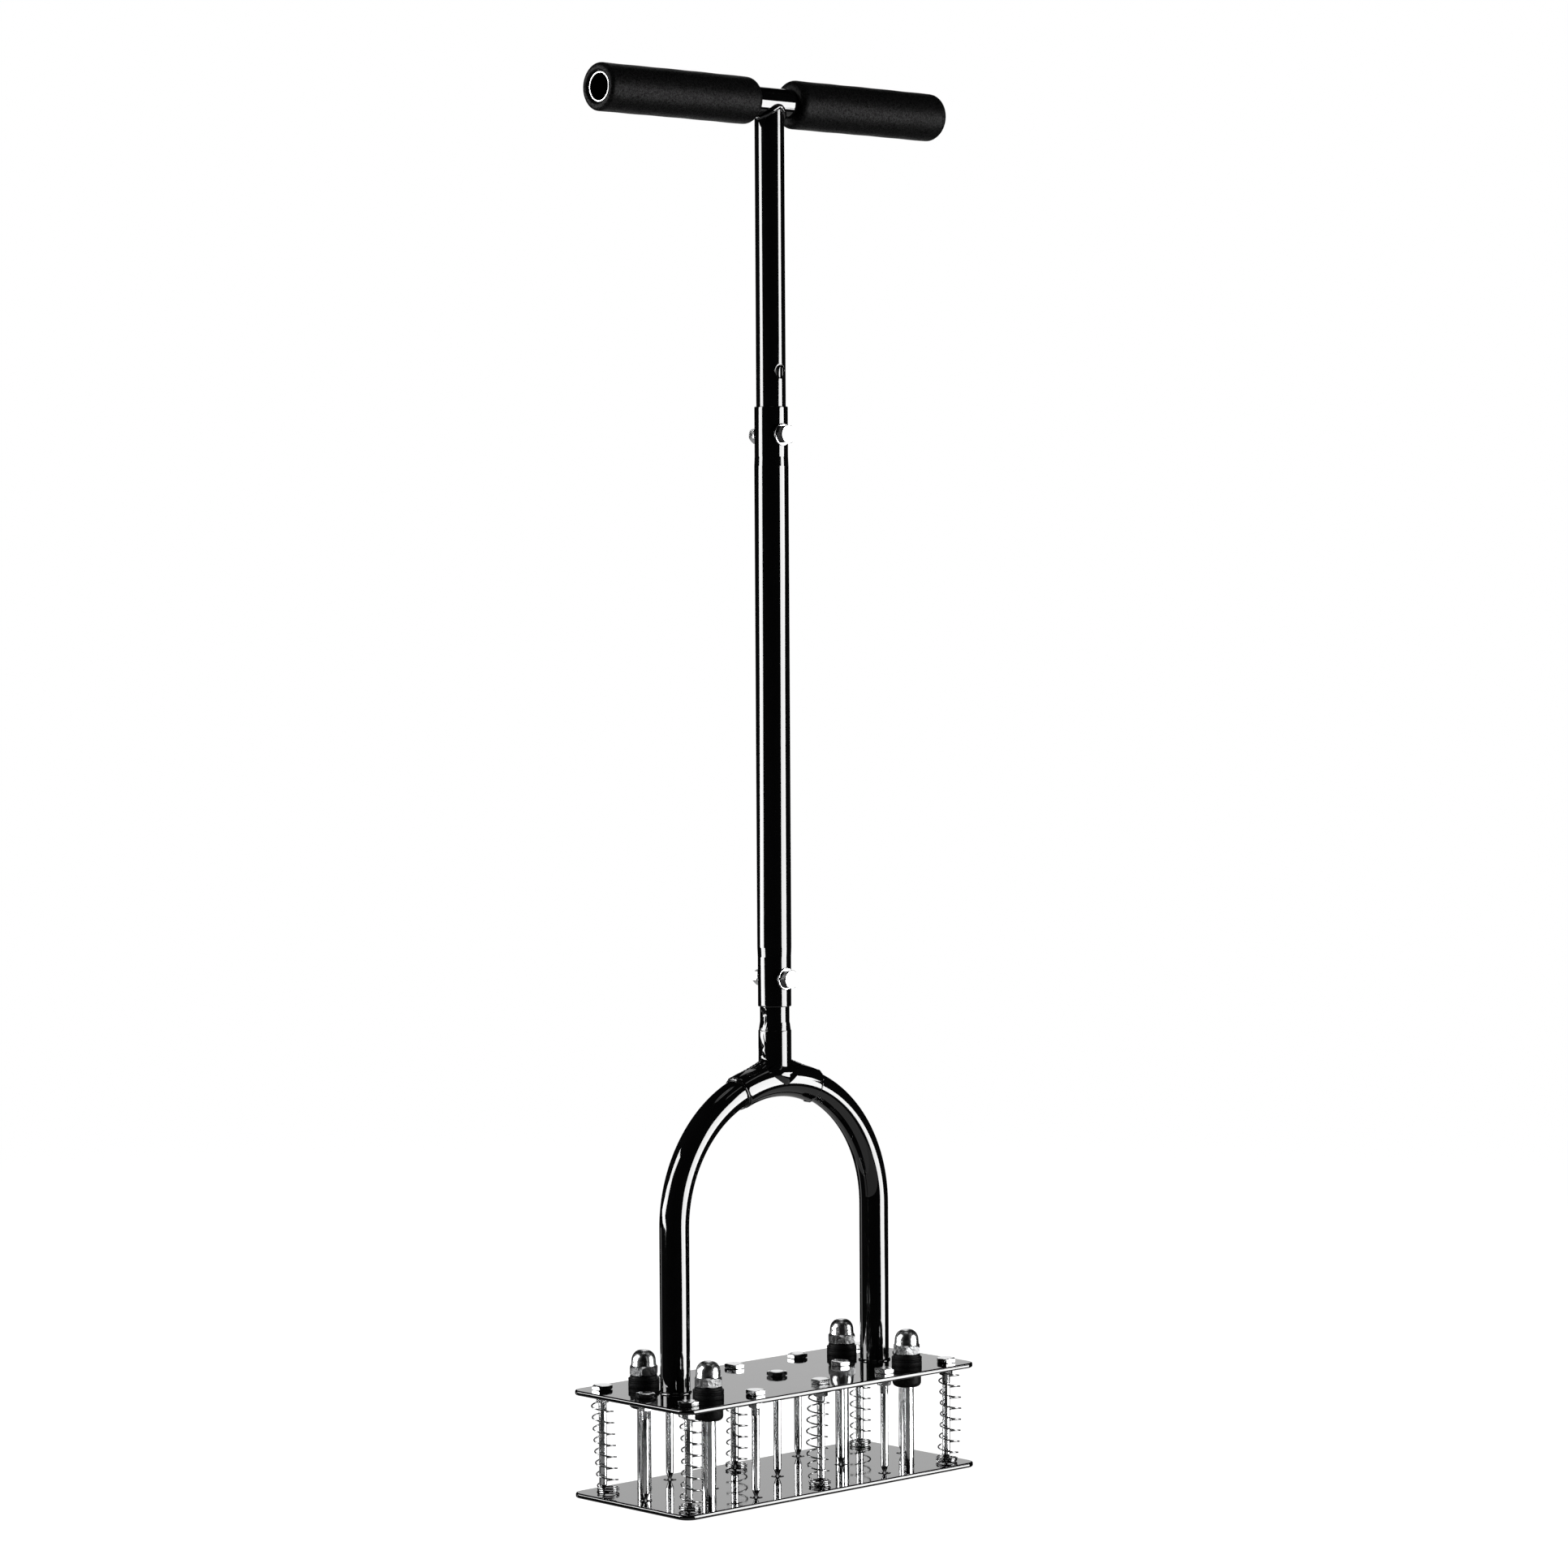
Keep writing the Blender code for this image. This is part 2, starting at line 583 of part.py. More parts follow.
def fork_crown():
    """A fitting sleeved over the top of the arch, with a flared neck that holds the stem."""
    reach = arch_reach(CROWN_HALF_ANGLE)
    sleeve = bar_mesh("fork_crown", reach, CROWN_SLEEVE_DIAMETER, CROWN_SIDES)
    crown = add_part("fork_crown", sleeve, BLACK_GLOSS, frame_empty)
    radius = CROWN_NECK_DIAMETER / 2
    neck = [
        (0.0, NECK_TOP),
        (radius - CROWN_NECK_CHAMFER, NECK_TOP),
        (radius, NECK_TOP - CROWN_NECK_TAPER),
        (radius, ARCH_TOP),
        (0.0, ARCH_TOP),
    ]
    cut(crown, add_cutter("crown_neck", turned("crown_neck", neck, TUBE_SIDES)), "UNION")
    top = ARCH_TOP + CROWN_FLARE_HEIGHT
    inside = radius - CLEARANCE
    bottom = ARCH_TOP - CLEARANCE
    flare = [(0.0, top), (inside, top), (CROWN_FLARE_HALF_LENGTH, bottom), (0.0, bottom)]
    flare_mesh = turned("crown_flare", flare, TUBE_SIDES)
    squeeze = CROWN_FLARE_HALF_WIDTH / CROWN_FLARE_HALF_LENGTH
    flare_mesh.transform(Matrix.Diagonal((1, squeeze, 1, 1)))
    cut(crown, add_cutter("crown_flare", flare_mesh), "UNION")
    socket = cylinder_mesh("crown_socket", SLEEVE_BORE, 2 * CROWN_NECK_HEIGHT, TUBE_SIDES)
    cut(crown, add_cutter("crown_socket", socket, (0, 0, SOCKET_BOTTOM)))
    through = arch_reach(CROWN_HALF_ANGLE + CROWN_BORE_OVERRUN)
    bore = bar_mesh("crown_bore", through, SLEEVE_BORE, CROWN_SIDES)
    cut(crown, add_cutter("crown_bore", bore))


def bolt_hole(obj, name, height, diameter):
    """A round hole through both walls of an upright tube, along Y."""
    reach = MIDDLE_TUBE_DIAMETER * 2
    mesh = cylinder_mesh(name, diameter, reach, PLATE_HOLE_SIDES)
    cutter = add_cutter(name, mesh, (0, reach / 2, height), (math.pi / 2, 0, 0))
    cut(obj, cutter)


def neck_stem():
    bottom = SOCKET_BOTTOM + CLEARANCE
    length = MIDDLE_TUBE_BOTTOM + STEM_INSERTION - bottom
    mesh = tube_mesh("neck_stem", TUBE_DIAMETER, TUBE_BORE, length, TUBE_SIDES)
    stem = add_part("neck_stem", mesh, BLACK_GLOSS, frame_empty, (0, 0, bottom))
    bolt_hole(stem, "stem_bolt_hole", LOWER_BOLT_HEIGHT, BOLT_HOLE_DIAMETER)


def middle_tube():
    mesh = tube_mesh("middle_tube", MIDDLE_TUBE_DIAMETER, SLEEVE_BORE, MIDDLE_TUBE_LENGTH, TUBE_SIDES)
    tube = add_part("middle_tube", mesh, BLACK_GLOSS, frame_empty, (0, 0, MIDDLE_TUBE_BOTTOM))
    bolt_hole(tube, "middle_lower_hole", LOWER_BOLT_HEIGHT, BOLT_HOLE_DIAMETER)
    bolt_hole(tube, "middle_upper_hole", UPPER_BOLT_HEIGHT, BOLT_HOLE_DIAMETER)


def upper_tube():
    """The top tube, coped to the crossbar, with a bolt hole and a spare one to set the height."""
    bottom = MIDDLE_TUBE_TOP - UPPER_TUBE_INSERTION
    length = HANDLE_HEIGHT - bottom
    mesh = tube_mesh("upper_tube", TUBE_DIAMETER, TUBE_BORE, length, TUBE_SIDES)
    tube = add_part("upper_tube", mesh, BLACK_GLOSS, frame_empty, (0, 0, bottom))
    bolt_hole(tube, "upper_bolt_hole", UPPER_BOLT_HEIGHT, BOLT_HOLE_DIAMETER)
    spare = UPPER_BOLT_HEIGHT + ADJUSTING_HOLE_PITCH
    bolt_hole(tube, "spare_hole", spare, ADJUSTING_HOLE_DIAMETER)
    reach = 4 * TUBE_DIAMETER
    cope = cylinder_mesh("cope", SLEEVE_BORE, reach, 2 * TUBE_SIDES)
    cut(tube, add_cutter("cope", cope, (-reach / 2, 0, HANDLE_HEIGHT), (0, math.pi / 2, 0)))


def joint_bolts():
    """A flanged round-headed bolt through each tube joint, with its round nut at the back."""
    face = MIDDLE_TUBE_DIAMETER / 2 + CLEARANCE
    end = face + BOLT_NUT_BORE_DEPTH - CLEARANCE
    dome = BOLT_DOME_DIAMETER / 2
    head = face + BOLT_FLANGE_THICKNESS
    profile = [(0.0, head + BOLT_DOME_HEIGHT)]
    for i in range(1, 4):
        angle = math.radians(30 * i)
        profile.append((dome * math.sin(angle), head + BOLT_DOME_HEIGHT * math.cos(angle)))
    profile += [
        (BOLT_FLANGE_DIAMETER / 2, head),
        (BOLT_FLANGE_DIAMETER / 2, face),
        (BOLT_DIAMETER / 2, face),
        (BOLT_DIAMETER / 2, -end),
        (0.0, -end),
    ]
    bolt = turned("joint_bolt", profile, SMALL_SIDES)
    radius = BOLT_NUT_DIAMETER / 2
    bore = BOLT_DIAMETER / 2 + CLEARANCE
    nut_profile = [
        (0.0, BOLT_NUT_LENGTH),
        (radius - BOLT_NUT_CHAMFER, BOLT_NUT_LENGTH),
        (radius, BOLT_NUT_LENGTH - BOLT_NUT_CHAMFER),
        (radius, 0.0),
        (bore, 0.0),
        (bore, BOLT_NUT_BORE_DEPTH),
        (0.0, BOLT_NUT_BORE_DEPTH),
    ]
    nut = turned("joint_nut", nut_profile, SMALL_SIDES)
    for name, height in (("lower", LOWER_BOLT_HEIGHT), ("upper", UPPER_BOLT_HEIGHT)):
        quarter = math.pi / 2
        add_part("joint_bolt_" + name, bolt, BRIGHT_STEEL, frame_empty, (0, 0, height), (quarter, 0, 0))
        place = (0, face, height)
        add_part("joint_nut_" + name, nut, BRIGHT_STEEL, frame_empty, place, (-quarter, 0, 0))


def handle():
    """The crossbar with its two foam grips."""
    lying = (0, math.pi / 2, 0)
    start = (-CROSSBAR_LENGTH / 2, 0, HANDLE_HEIGHT)
    mesh = tube_mesh("handle_crossbar", TUBE_DIAMETER, TUBE_BORE, CROSSBAR_LENGTH, TUBE_SIDES)
    add_part("handle_crossbar", mesh, BLACK_GLOSS, frame_empty, start, lying)
    length = (CROSSBAR_LENGTH - GRIP_SPACING) / 2
    radius = GRIP_DIAMETER / 2
    rounding = GRIP_END_ROUNDING
    profile = [(SLEEVE_BORE / 2, length)]
    profile += arc((radius - rounding, length - rounding), rounding, 90, 0, 3)
    profile += arc((radius - rounding, rounding), rounding, 0, -90, 3)
    profile.append((SLEEVE_BORE / 2, 0.0))
    grip = turned("grip", profile, GRIP_SIDES)
    for name, x in (("left", -CROSSBAR_LENGTH / 2), ("right", GRIP_SPACING / 2)):
        add_part("grip_" + name, grip, BLACK_FOAM, frame_empty, (x, 0, HANDLE_HEIGHT), lying)


def main():
    global parts, cutters, frame_empty, stripper_empty
    clear_scene()
    parts = new_collection("lawn_aerator")
    cutters = new_collection("cutters")
    frame_empty = new_empty("frame_body")
    stripper_empty = new_empty("stripper_body")
    stripper_plate()
    spike_plate()
    spikes()
    springs()
    guide_posts()
    cap_nuts()
    bushings()
    fork_tube()
    fork_crown()
    neck_stem()
    middle_tube()
    upper_tube()
    joint_bolts()
    handle()


main()
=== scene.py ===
"""Manual lawn aerator: the looks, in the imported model's frame.

Metres, +Z up. X runs along the plates and the handle, and Y across them. Pieces take their places
from the boxes of the nodes that they stand for, and each mesh is written in the model's frame.
"""

import math

import bmesh
import bpy
from mathutils import Matrix, Vector
from mathutils.geometry import tessellate_polygon

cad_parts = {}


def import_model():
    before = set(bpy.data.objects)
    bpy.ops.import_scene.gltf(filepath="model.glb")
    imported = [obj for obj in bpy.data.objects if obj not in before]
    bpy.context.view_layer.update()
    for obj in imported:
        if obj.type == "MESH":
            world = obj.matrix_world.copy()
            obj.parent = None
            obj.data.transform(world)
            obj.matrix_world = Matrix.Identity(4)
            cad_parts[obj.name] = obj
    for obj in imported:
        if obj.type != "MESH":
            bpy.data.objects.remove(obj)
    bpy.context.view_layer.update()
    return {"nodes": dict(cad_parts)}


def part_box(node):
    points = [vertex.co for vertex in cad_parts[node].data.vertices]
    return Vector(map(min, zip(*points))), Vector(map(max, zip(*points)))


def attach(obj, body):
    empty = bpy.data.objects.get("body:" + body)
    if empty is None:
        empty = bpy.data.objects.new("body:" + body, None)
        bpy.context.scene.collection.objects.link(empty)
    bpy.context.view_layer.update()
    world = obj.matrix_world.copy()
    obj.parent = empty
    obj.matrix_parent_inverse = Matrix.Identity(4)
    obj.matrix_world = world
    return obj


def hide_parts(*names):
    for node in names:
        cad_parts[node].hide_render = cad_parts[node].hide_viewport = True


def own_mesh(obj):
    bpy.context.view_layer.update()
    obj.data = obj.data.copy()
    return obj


# A part's clearance in its bore
FIT = 0.0001

# Plates, with the radii of their holes
PLATE_THICKNESS = 0.0032
PLATE_CORNER = 0.0085
PLATE_EASING = 0.0011
HOLE_EASING = 0.0003
STRIPPER_HOLE = 0.0040
BUSHING_HOLE = 0.0078
POST_HOLE = 0.0046

# Spikes, from the top of the spike plate down
HEAD_ACROSS_FLATS = 0.0115
HEAD_CROWN_RADIUS = 0.0046
HEAD_GAP = 0.00005
NUT_ACROSS_FLATS = 0.0080
NUT_HEIGHT = 0.0050
NUT_TURN = 0.3
NUT_TURN_STEP = 0.21
SHANK_RADIUS = 0.0025
THREAD_RADIUS = 0.00275
THREAD_PITCH = 0.0008
THREAD_DEPTH = 0.00035
THREAD_STEPS = 6
THREAD_BELOW_NUT = 0.0050
TIP_LENGTH = 0.0055
TIP_RADIUS = 0.0006

# How the spikes were left turned, in degrees
HEAD_TURNS = {
    "front": (37, 23, 12, 21, 19),
    "middle": (43, 8, 49, 19, 31),
    "back": (1, 52, 29, 57, 11),
}

# Springs
SPRING_RADIUS = 0.00665
WIRE_RADIUS = 0.0005
SPRING_LIFT = 0.0003
SPRING_CLOSED_GAP = 0.0002

# Each spring's start in degrees, then how far its foot, middle and head lie off the spike's axis,
# in mm to the camera's right
SPRINGS = {
    "spring_front_1": (60, 0.4, 2.2, 0.5),
    "spring_front_3": (272, -0.7, -2.5, -0.4),
    "spring_front_5": (106, 0.0, 2.9, 1.0),
    "spring_back_1": (200, 3.4, 1.2, -0.6),
    "spring_back_3": (100, 0.9, 1.6, 0.5),
    "spring_back_5": (280, 0.3, 0.4, -0.2),
}

# Guide posts, domed nuts and bushings, with the nuts' turns in degrees
POST_RADIUS = 0.0045
POST_CHAMFER = 0.0006
CAP_ACROSS_FLATS = 0.0170
CAP_HEX_HEIGHT = 0.0062
CAP_DOME_RADIUS = 0.0078
CAP_DOME_FULLNESS = 0.86
CAP_COLLAR = ((0.0081, 0.0), (0.00795, 0.0005))
CAP_TURNS = {"front_left": 17, "front_right": 15, "back_left": 13, "back_right": 21}
BUSHING_FLANGE = 0.0099
BUSHING_TOP = 0.0088
BUSHING_TOP_STEP = 0.0016
BUSHING_LOWER = 0.0094
BUSHING_ROUNDING = 0.0030
BUSHING_GROOVES = (0.0012, 0.0024)

# A groove of a bushing as (inward, down) pairs, and the fork's weld bead as (out, up) pairs
GROOVE = ((0.0, 0.0), (0.0004, 0.0002), (0.0004, 0.0004), (0.0, 0.0006))
FORK_BEAD = (
    (-0.0002, 0.0013), (0.0003, 0.0012), (0.0008, 0.0008), (0.0011, 0.0003), (0.0012, 0.0),
)

# Fork, crown, pole and handle. A ripple is a share of the bead's own size.
FORK_BEAD_RIPPLE = 0.16
TUBE_RADIUS = 0.0095
TUBE_BORE = 0.0083
FORK_RADIUS = 0.0878
ARCH_CENTRE = 0.1724
SLEEVE_RADIUS = 0.0111
SLEEVE_HALF_ANGLE = math.radians(21.5)
SLEEVE_ROUNDING = 0.0008
NECK_RADIUS = 0.01065
NECK_TAPER_TOP = 0.0042
NECK_TAPER_LENGTH = 0.0066
WEB_RISE = 0.0140
WEB_REACH = 0.0290
WEB_WIDTH = 0.0062
WEB_FLARE = 1.3
WEB_SUNK = 0.0004
SADDLE_HALF_WIDTH = 0.0145
SADDLE_START = math.radians(38)
SADDLE_RISE = 0.0031
POLE_RADIUS = 0.0110
POLE_END_RADIUS = 0.01075
POLE_END_LENGTH = 0.0380
POLE_END_BLEND = 0.0060
POLE_SIDES = 96
SPARE_HOLE_HEIGHT = 0.7141
SPARE_HOLE_RADIUS = 0.0040
SPARE_HOLE_EASING = 0.0004
HOLE_PAD_COLUMNS = 9
HOLE_PAD_HEIGHT = 0.0060
WALL_EDGE = 0.0003
JOINT_HEAD_FLATS = 0.0110
JOINT_NUT_FLATS = 0.0094
JOINT_FLANGE_TOP = 0.0118
COPE_FULLNESS = 0.98
GRIP_RADII = {"left": 0.0151, "right": 0.0156}
GRIP_ROUNDING = 0.0052
GRIP_LIP = 0.0034
GRIP_FLARE = 0.0018
GRIP_BACK = 0.0019
BAR_RECESS = 0.0036

# The paint's runs: the shares of X and Y in their side of the pole, how far out that side lies
# and the height from which they show
RUNS_FACING = (0.73, 0.68)
RUNS_OUT = (0.0035, 0.0060)
RUNS_ABOVE = (0.2745, 0.2765)

# The camera, as fitted to the photograph
CAMERA_PLACE = (-1.9893, -2.1342, 0.5697)
CAMERA_RIGHT = (0.7297, -0.6837, -0.0060)
CAMERA_UP = (0.0323, 0.0257, 0.9991)
CAMERA_LENS = 104.51
CAMERA_SENSOR = 36.0

# The studio: angles are degrees to the camera's right, seen from the tool. A lamp's outline has
# rows of (height, start, end), and a wall is (name, start, end, low, high).
WALL_DISTANCE = 2.3
LAMP_DISTANCE = 2.0
STUDIO_LOW = -1.2
STUDIO_HIGH = 4.2
LAMP_STRENGTH = 15.0
LAMP_DIFFUSE_STRENGTH = 8.0
RIGHT_LAMP = (
    (-0.45, 59, 96), (-0.17, 58, 95), (-0.10, 55, 92), (0.20, 51, 90), (0.35, 53, 90),
    (0.50, 56, 92), (0.60, 58, 96), (0.74, 59, 96), (0.84, 69, 92), (1.10, 71, 91),
)
LEFT_LAMP = (
    (-0.06, -62, -66), (0.04, -66, -96), (0.20, -76, -110), (0.35, -72, -103), (0.48, -69, -98),
    (0.60, -67, -97), (0.74, -66, -94), (0.86, -65, -90), (1.10, -66, -89), (1.80, -56, -89),
)
WALLS = (
    ("front_wall", -67, 52, STUDIO_LOW, STUDIO_HIGH),
    ("right_wall", 50, 172, STUDIO_LOW, 3.2),
    ("right_high_wall", 115, 172, 3.2, STUDIO_HIGH),
    ("left_wall", -65, -115, STUDIO_LOW, STUDIO_HIGH),
    ("left_gap_wall", -115, -126, -0.1, STUDIO_HIGH),
    ("left_back_wall", -126, -172, STUDIO_LOW, STUDIO_HIGH),
)
LOW_CARD = ((STUDIO_LOW, -67, 52), (-0.37, -67, 52))
CEILING = 4.25
CEILING_OPENING = 0.6
CEILING_REACH = 2.7
UNDER_CARD_HALF = 2.4
FLOOR_HALF = 30.0
FLOOR_HEIGHT = -0.0002
FLOOR_GLOW = 0.92
WORLD_SOFT = 0.12

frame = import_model()


def repainted(obj, material, chosen):
    """Give another material to the faces that chosen picks."""
    obj.data.materials.append(material)
    for face in obj.data.polygons:
        face.material_index = int(chosen(face))


def nodes_of(kind):
    """The nodes whose names start with the kind, without the spike plate."""
    return [node for node in frame["nodes"] if node.startswith(kind) and node != "spike_plate"]


def middle(node):
    low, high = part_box(node)
    return (low + high) / 2


class Graph:
    """A material and a short way to add and join its nodes."""

    def __init__(self, name):
        self.material = bpy.data.materials.new(name)
        self.material.use_nodes = True
        self.tree = self.material.node_tree
        self.shader = self.tree.nodes["Principled BSDF"]
        self.place = self.add("ShaderNodeTexCoord").outputs["Object"]

    def put(self, socket, value):
        if isinstance(value, bpy.types.NodeSocket):
            self.tree.links.new(value, socket)
        else:
            socket.default_value = value

    def add(self, kind, inputs=(), **settings):
        node = self.tree.nodes.new(kind)
        for name, value in settings.items():
            setattr(node, name, value)
        for key, value in dict(inputs).items():
            self.put(node.inputs[key], value)
        return node

    def noise(self, scale, detail=2.0, stretch=(1, 1, 1), roughness=0.5):
        place = self.place
        if stretch != (1, 1, 1):
            place = self.add("ShaderNodeMapping", {"Vector": place, "Scale": stretch}).outputs[0]
        inputs = {"Vector": place, "Scale": scale, "Detail": detail, "Roughness": roughness}
        return self.add("ShaderNodeTexNoise", inputs).outputs["Fac"]

    def cells(self, scale):
        inputs = {"Vector": self.place, "Scale": scale}
        return self.add("ShaderNodeTexVoronoi", inputs, feature="F1").outputs["Distance"]

    def spread(self, value, low, high, start=0.0, end=1.0):
        """The value mapped from start..end to low..high, and held there."""
        inputs = {0: value, 1: start, 2: end, 3: low, 4: high}
        return self.add("ShaderNodeMapRange", inputs).outputs[0]

    def maths(self, operation, first, second):
        return self.add("ShaderNodeMath", {0: first, 1: second}, operation=operation).outputs[0]

    def colour(self, factor, first, second):
        inputs = {"Factor": factor, "A": (*first, 1), "B": (*second, 1)}
        node = self.add("ShaderNodeMix", data_type="RGBA")
        sockets = {s.name: s for s in node.inputs if s.enabled}
        for key, value in inputs.items():
            self.put(sockets[key], value)
        return next(s for s in node.outputs if s.enabled)

    def bump(self, height, distance, under=None):
        inputs = {"Height": height, "Distance": distance, "Strength": 1.0}
        if under:
            inputs["Normal"] = under
        return self.add("ShaderNodeBump", inputs).outputs[0]

    def finish(self, **inputs):
        for name, value in inputs.items():
            self.put(self.shader.inputs[name.replace("_", " ")], value)
        return self.material


def enamel(name, peel=0.000006, waviness=0.00005, runs=0.0):
    """Glossy black stoving enamel: faint orange peel, slow waves from the tube and a few smears.
    Runs are the depth of its drips and spatter, which lie on the sides that face away from +X."""
    graph = Graph(name)
    wave = graph.bump(graph.noise(28, 1.0), waviness)
    if runs:
        parts = graph.add("ShaderNodeSeparateXYZ", {"Vector": graph.place}).outputs
        x, y = (graph.maths("MULTIPLY", parts[k], share) for k, share in zip("XY", RUNS_FACING))
        out = graph.spread(graph.maths("SUBTRACT", y, x), 0, 1, *RUNS_OUT)
        shown = graph.maths("MULTIPLY", out, graph.spread(parts["Z"], 0, 1, *RUNS_ABOVE))
        drops = graph.noise(200, 1.0, stretch=(1, 1, 0.5))
        spatter = graph.spread(drops, 0, 1, start=0.48, end=0.72)
        wave = graph.bump(graph.maths("MULTIPLY", shown, spatter), runs, under=wave)
    skin = graph.bump(graph.noise(520, 2.0), peel, under=wave)
    smear = graph.noise(60, 4.0, roughness=0.65)
    roughness = graph.spread(smear, 0.02, 0.09, start=0.35, end=0.75)
    colour = graph.colour(graph.noise(90, 3.0), (0.0020, 0.0020, 0.0021), (0.0040, 0.0040, 0.0042))
    return graph.finish(Base_Color=colour, Roughness=roughness, IOR=1.6, Normal=skin)


def plated(name, streaks=(1, 1, 0.03), grain=0.000012, dents=0.0, tone=1.0, rough=(0.07, 0.2)):
    """Bright plated steel, with drawn streaks along the piece and a slightly uneven lustre."""
    graph = Graph(name)
    streak = graph.noise(1600, 3.0, stretch=streaks, roughness=0.6)
    cloud = graph.noise(140, 4.0)
    normal = graph.bump(streak, grain)
    if dents:
        normal = graph.bump(graph.noise(420, 2.0), dents, under=normal)
    mixed = graph.maths("MULTIPLY", streak, cloud)
    dull = [tone * v for v in (0.60, 0.61, 0.62)]
    clean = [tone * v for v in (0.80, 0.80, 0.80)]
    colour = graph.colour(graph.spread(mixed, 0, 1, start=0.1, end=0.45), dull, clean)
    roughness = graph.spread(cloud, *rough, start=0.3, end=0.75)
    return graph.finish(Base_Color=colour, Roughness=roughness, Metallic=1.0, Normal=normal)


def rubber():
    """Satin moulded rubber, with a fine grain and a little dust in it."""
    graph = Graph("moulded_rubber")
    dust = graph.spread(graph.noise(900, 4.0, roughness=0.7), 0, 1, start=0.52, end=0.8)
    colour = graph.colour(dust, (0.004, 0.004, 0.0042), (0.022, 0.022, 0.022))
    normal = graph.bump(graph.noise(1400, 3.0), 0.00003)
    roughness = graph.spread(graph.noise(240, 3.0), 0.45, 0.65, start=0.3, end=0.7)
    return graph.finish(
        Base_Color=colour, Roughness=roughness, Specular_IOR_Level=0.07, Normal=normal,
    )


def foam():
    """Closed-cell foam: a skin of small pores, with lighter walls that shine a little."""
    graph = Graph("grip_foam")
    pores = graph.cells(1300)
    coarse = graph.noise(640, 5.0, roughness=0.75)
    relief = graph.maths("ADD", graph.maths("MULTIPLY", pores, 0.4), coarse)
    walls = graph.spread(relief, 0, 1, start=0.45, end=0.95)
    colour = graph.colour(walls, (0.0008, 0.0008, 0.0009), (0.0065, 0.0065, 0.0066))
    shine = graph.spread(relief, 0.0, 0.13, start=0.45, end=0.88)
    normal = graph.bump(relief, 0.0002)
    return graph.finish(
        Base_Color=colour, Roughness=0.48, Specular_IOR_Level=shine, Normal=normal,
    )


def bare_steel():
    """Sawn tube end, lightly oxidised."""
    graph = Graph("sawn_steel")
    scratch = graph.noise(1200, 3.0, stretch=(1, 0.1, 1))
    colour = graph.colour(scratch, (0.45, 0.45, 0.45), (0.75, 0.75, 0.76))
    return graph.finish(
        Base_Color=colour, Metallic=1.0, Roughness=graph.spread(scratch, 0.3, 0.5),
        Normal=graph.bump(scratch, 0.00003),
    )


def eased(profile, radius, steps=3, closed=False):
    """The profile with its corners rounded to the radius, or to less where its sides are short."""
    sharpest, most = 0.2, 0.45
    points = [Vector(p) for p in profile]
    count = len(points)
    out = []
    for i, here in enumerate(points):
        if not closed and i in (0, count - 1):
            out.append(here)
            continue
        a, b = points[i - 1] - here, points[(i + 1) % count] - here
        half = max(a.angle(b), sharpest) / 2
        reach = min(radius / math.tan(half), a.length * most, b.length * most)
        start, end = here + a.normalized() * reach, here + b.normalized() * reach
        for j in range(steps + 1):
            t = j / steps
            out.append(start * (1 - t) ** 2 + here * 2 * t * (1 - t) + end * t * t)
    return out


def held(profile, near=0.0004, longest=0.003):
    """The profile with a point near each end of its long sides, which keeps their shading flat."""
    points = [Vector(p) for p in profile]
    out = [points[0]]
    for here, after in zip(points, points[1:]):
        side = after - here
        if side.length > longest:
            out += [here + side.normalized() * near, after - side.normalized() * near]
        out.append(after)
    return out


def arc(across, up, radius, start, end, steps=8):
    """Pairs on a circle round (across, up), from start to end in degrees."""
    angles = [math.radians(start + (end - start) * i / steps) for i in range(steps + 1)]
    return [(across + radius * math.cos(a), up + radius * math.sin(a)) for a in angles]


def angles_round(sides):
    return [2 * math.pi * i / sides for i in range(sides)]


def polar(radius, angle, height, x=0.0, y=0.0):
    return Vector((x + radius * math.cos(angle), y + radius * math.sin(angle), height))


def circle(radius, height, sides=72):
    """A level ring of points, or one point where the radius is 0."""
    return [polar(radius, angle, height) for angle in angles_round(sides if radius else 1)]


def circles(profile, sides=72):
    return [circle(radius, height, sides) for radius, height in profile]


def skinned(rings, wrap=False, work=None):
    """Faces over rings of points. A ring of one point closes an end, and wrap joins last to
    first."""
    work = work or bmesh.new()
    made = [[work.verts.new(p) for p in ring] for ring in rings]
    pairs = list(zip(made, made[1:]))
    if wrap:
        pairs.append((made[-1], made[0]))
    for low, high in pairs:
        for i in range(max(len(low), len(high))):
            j = i + 1
            corners = [low[i % len(low)], low[j % len(low)]]
            corners += [high[j % len(high)], high[i % len(high)]]
            face = list(dict.fromkeys(corners))
            if len(face) > 2:
                work.faces.new(face)
    return work


def spun(profile, sides, shape=None, wrap=False, work=None, place=(0, 0, 0), turn=None):
    """A profile of (radius, height) pairs turned about Z, then turned and moved to its place.
    shape(angle, radius, height) gives another radius and height."""
    rings = []
    matrix = Matrix.Translation(place) @ (turn.to_4x4() if turn else Matrix())
    for radius, height in profile:
        ring = []
        for angle in angles_round(sides if radius > 0 else 1):
            r, z = shape(angle, radius, height) if shape and radius > 0 else (radius, height)
            ring.append(matrix @ polar(r, angle, z))
        rings.append(ring)
    return skinned(rings, wrap, work)


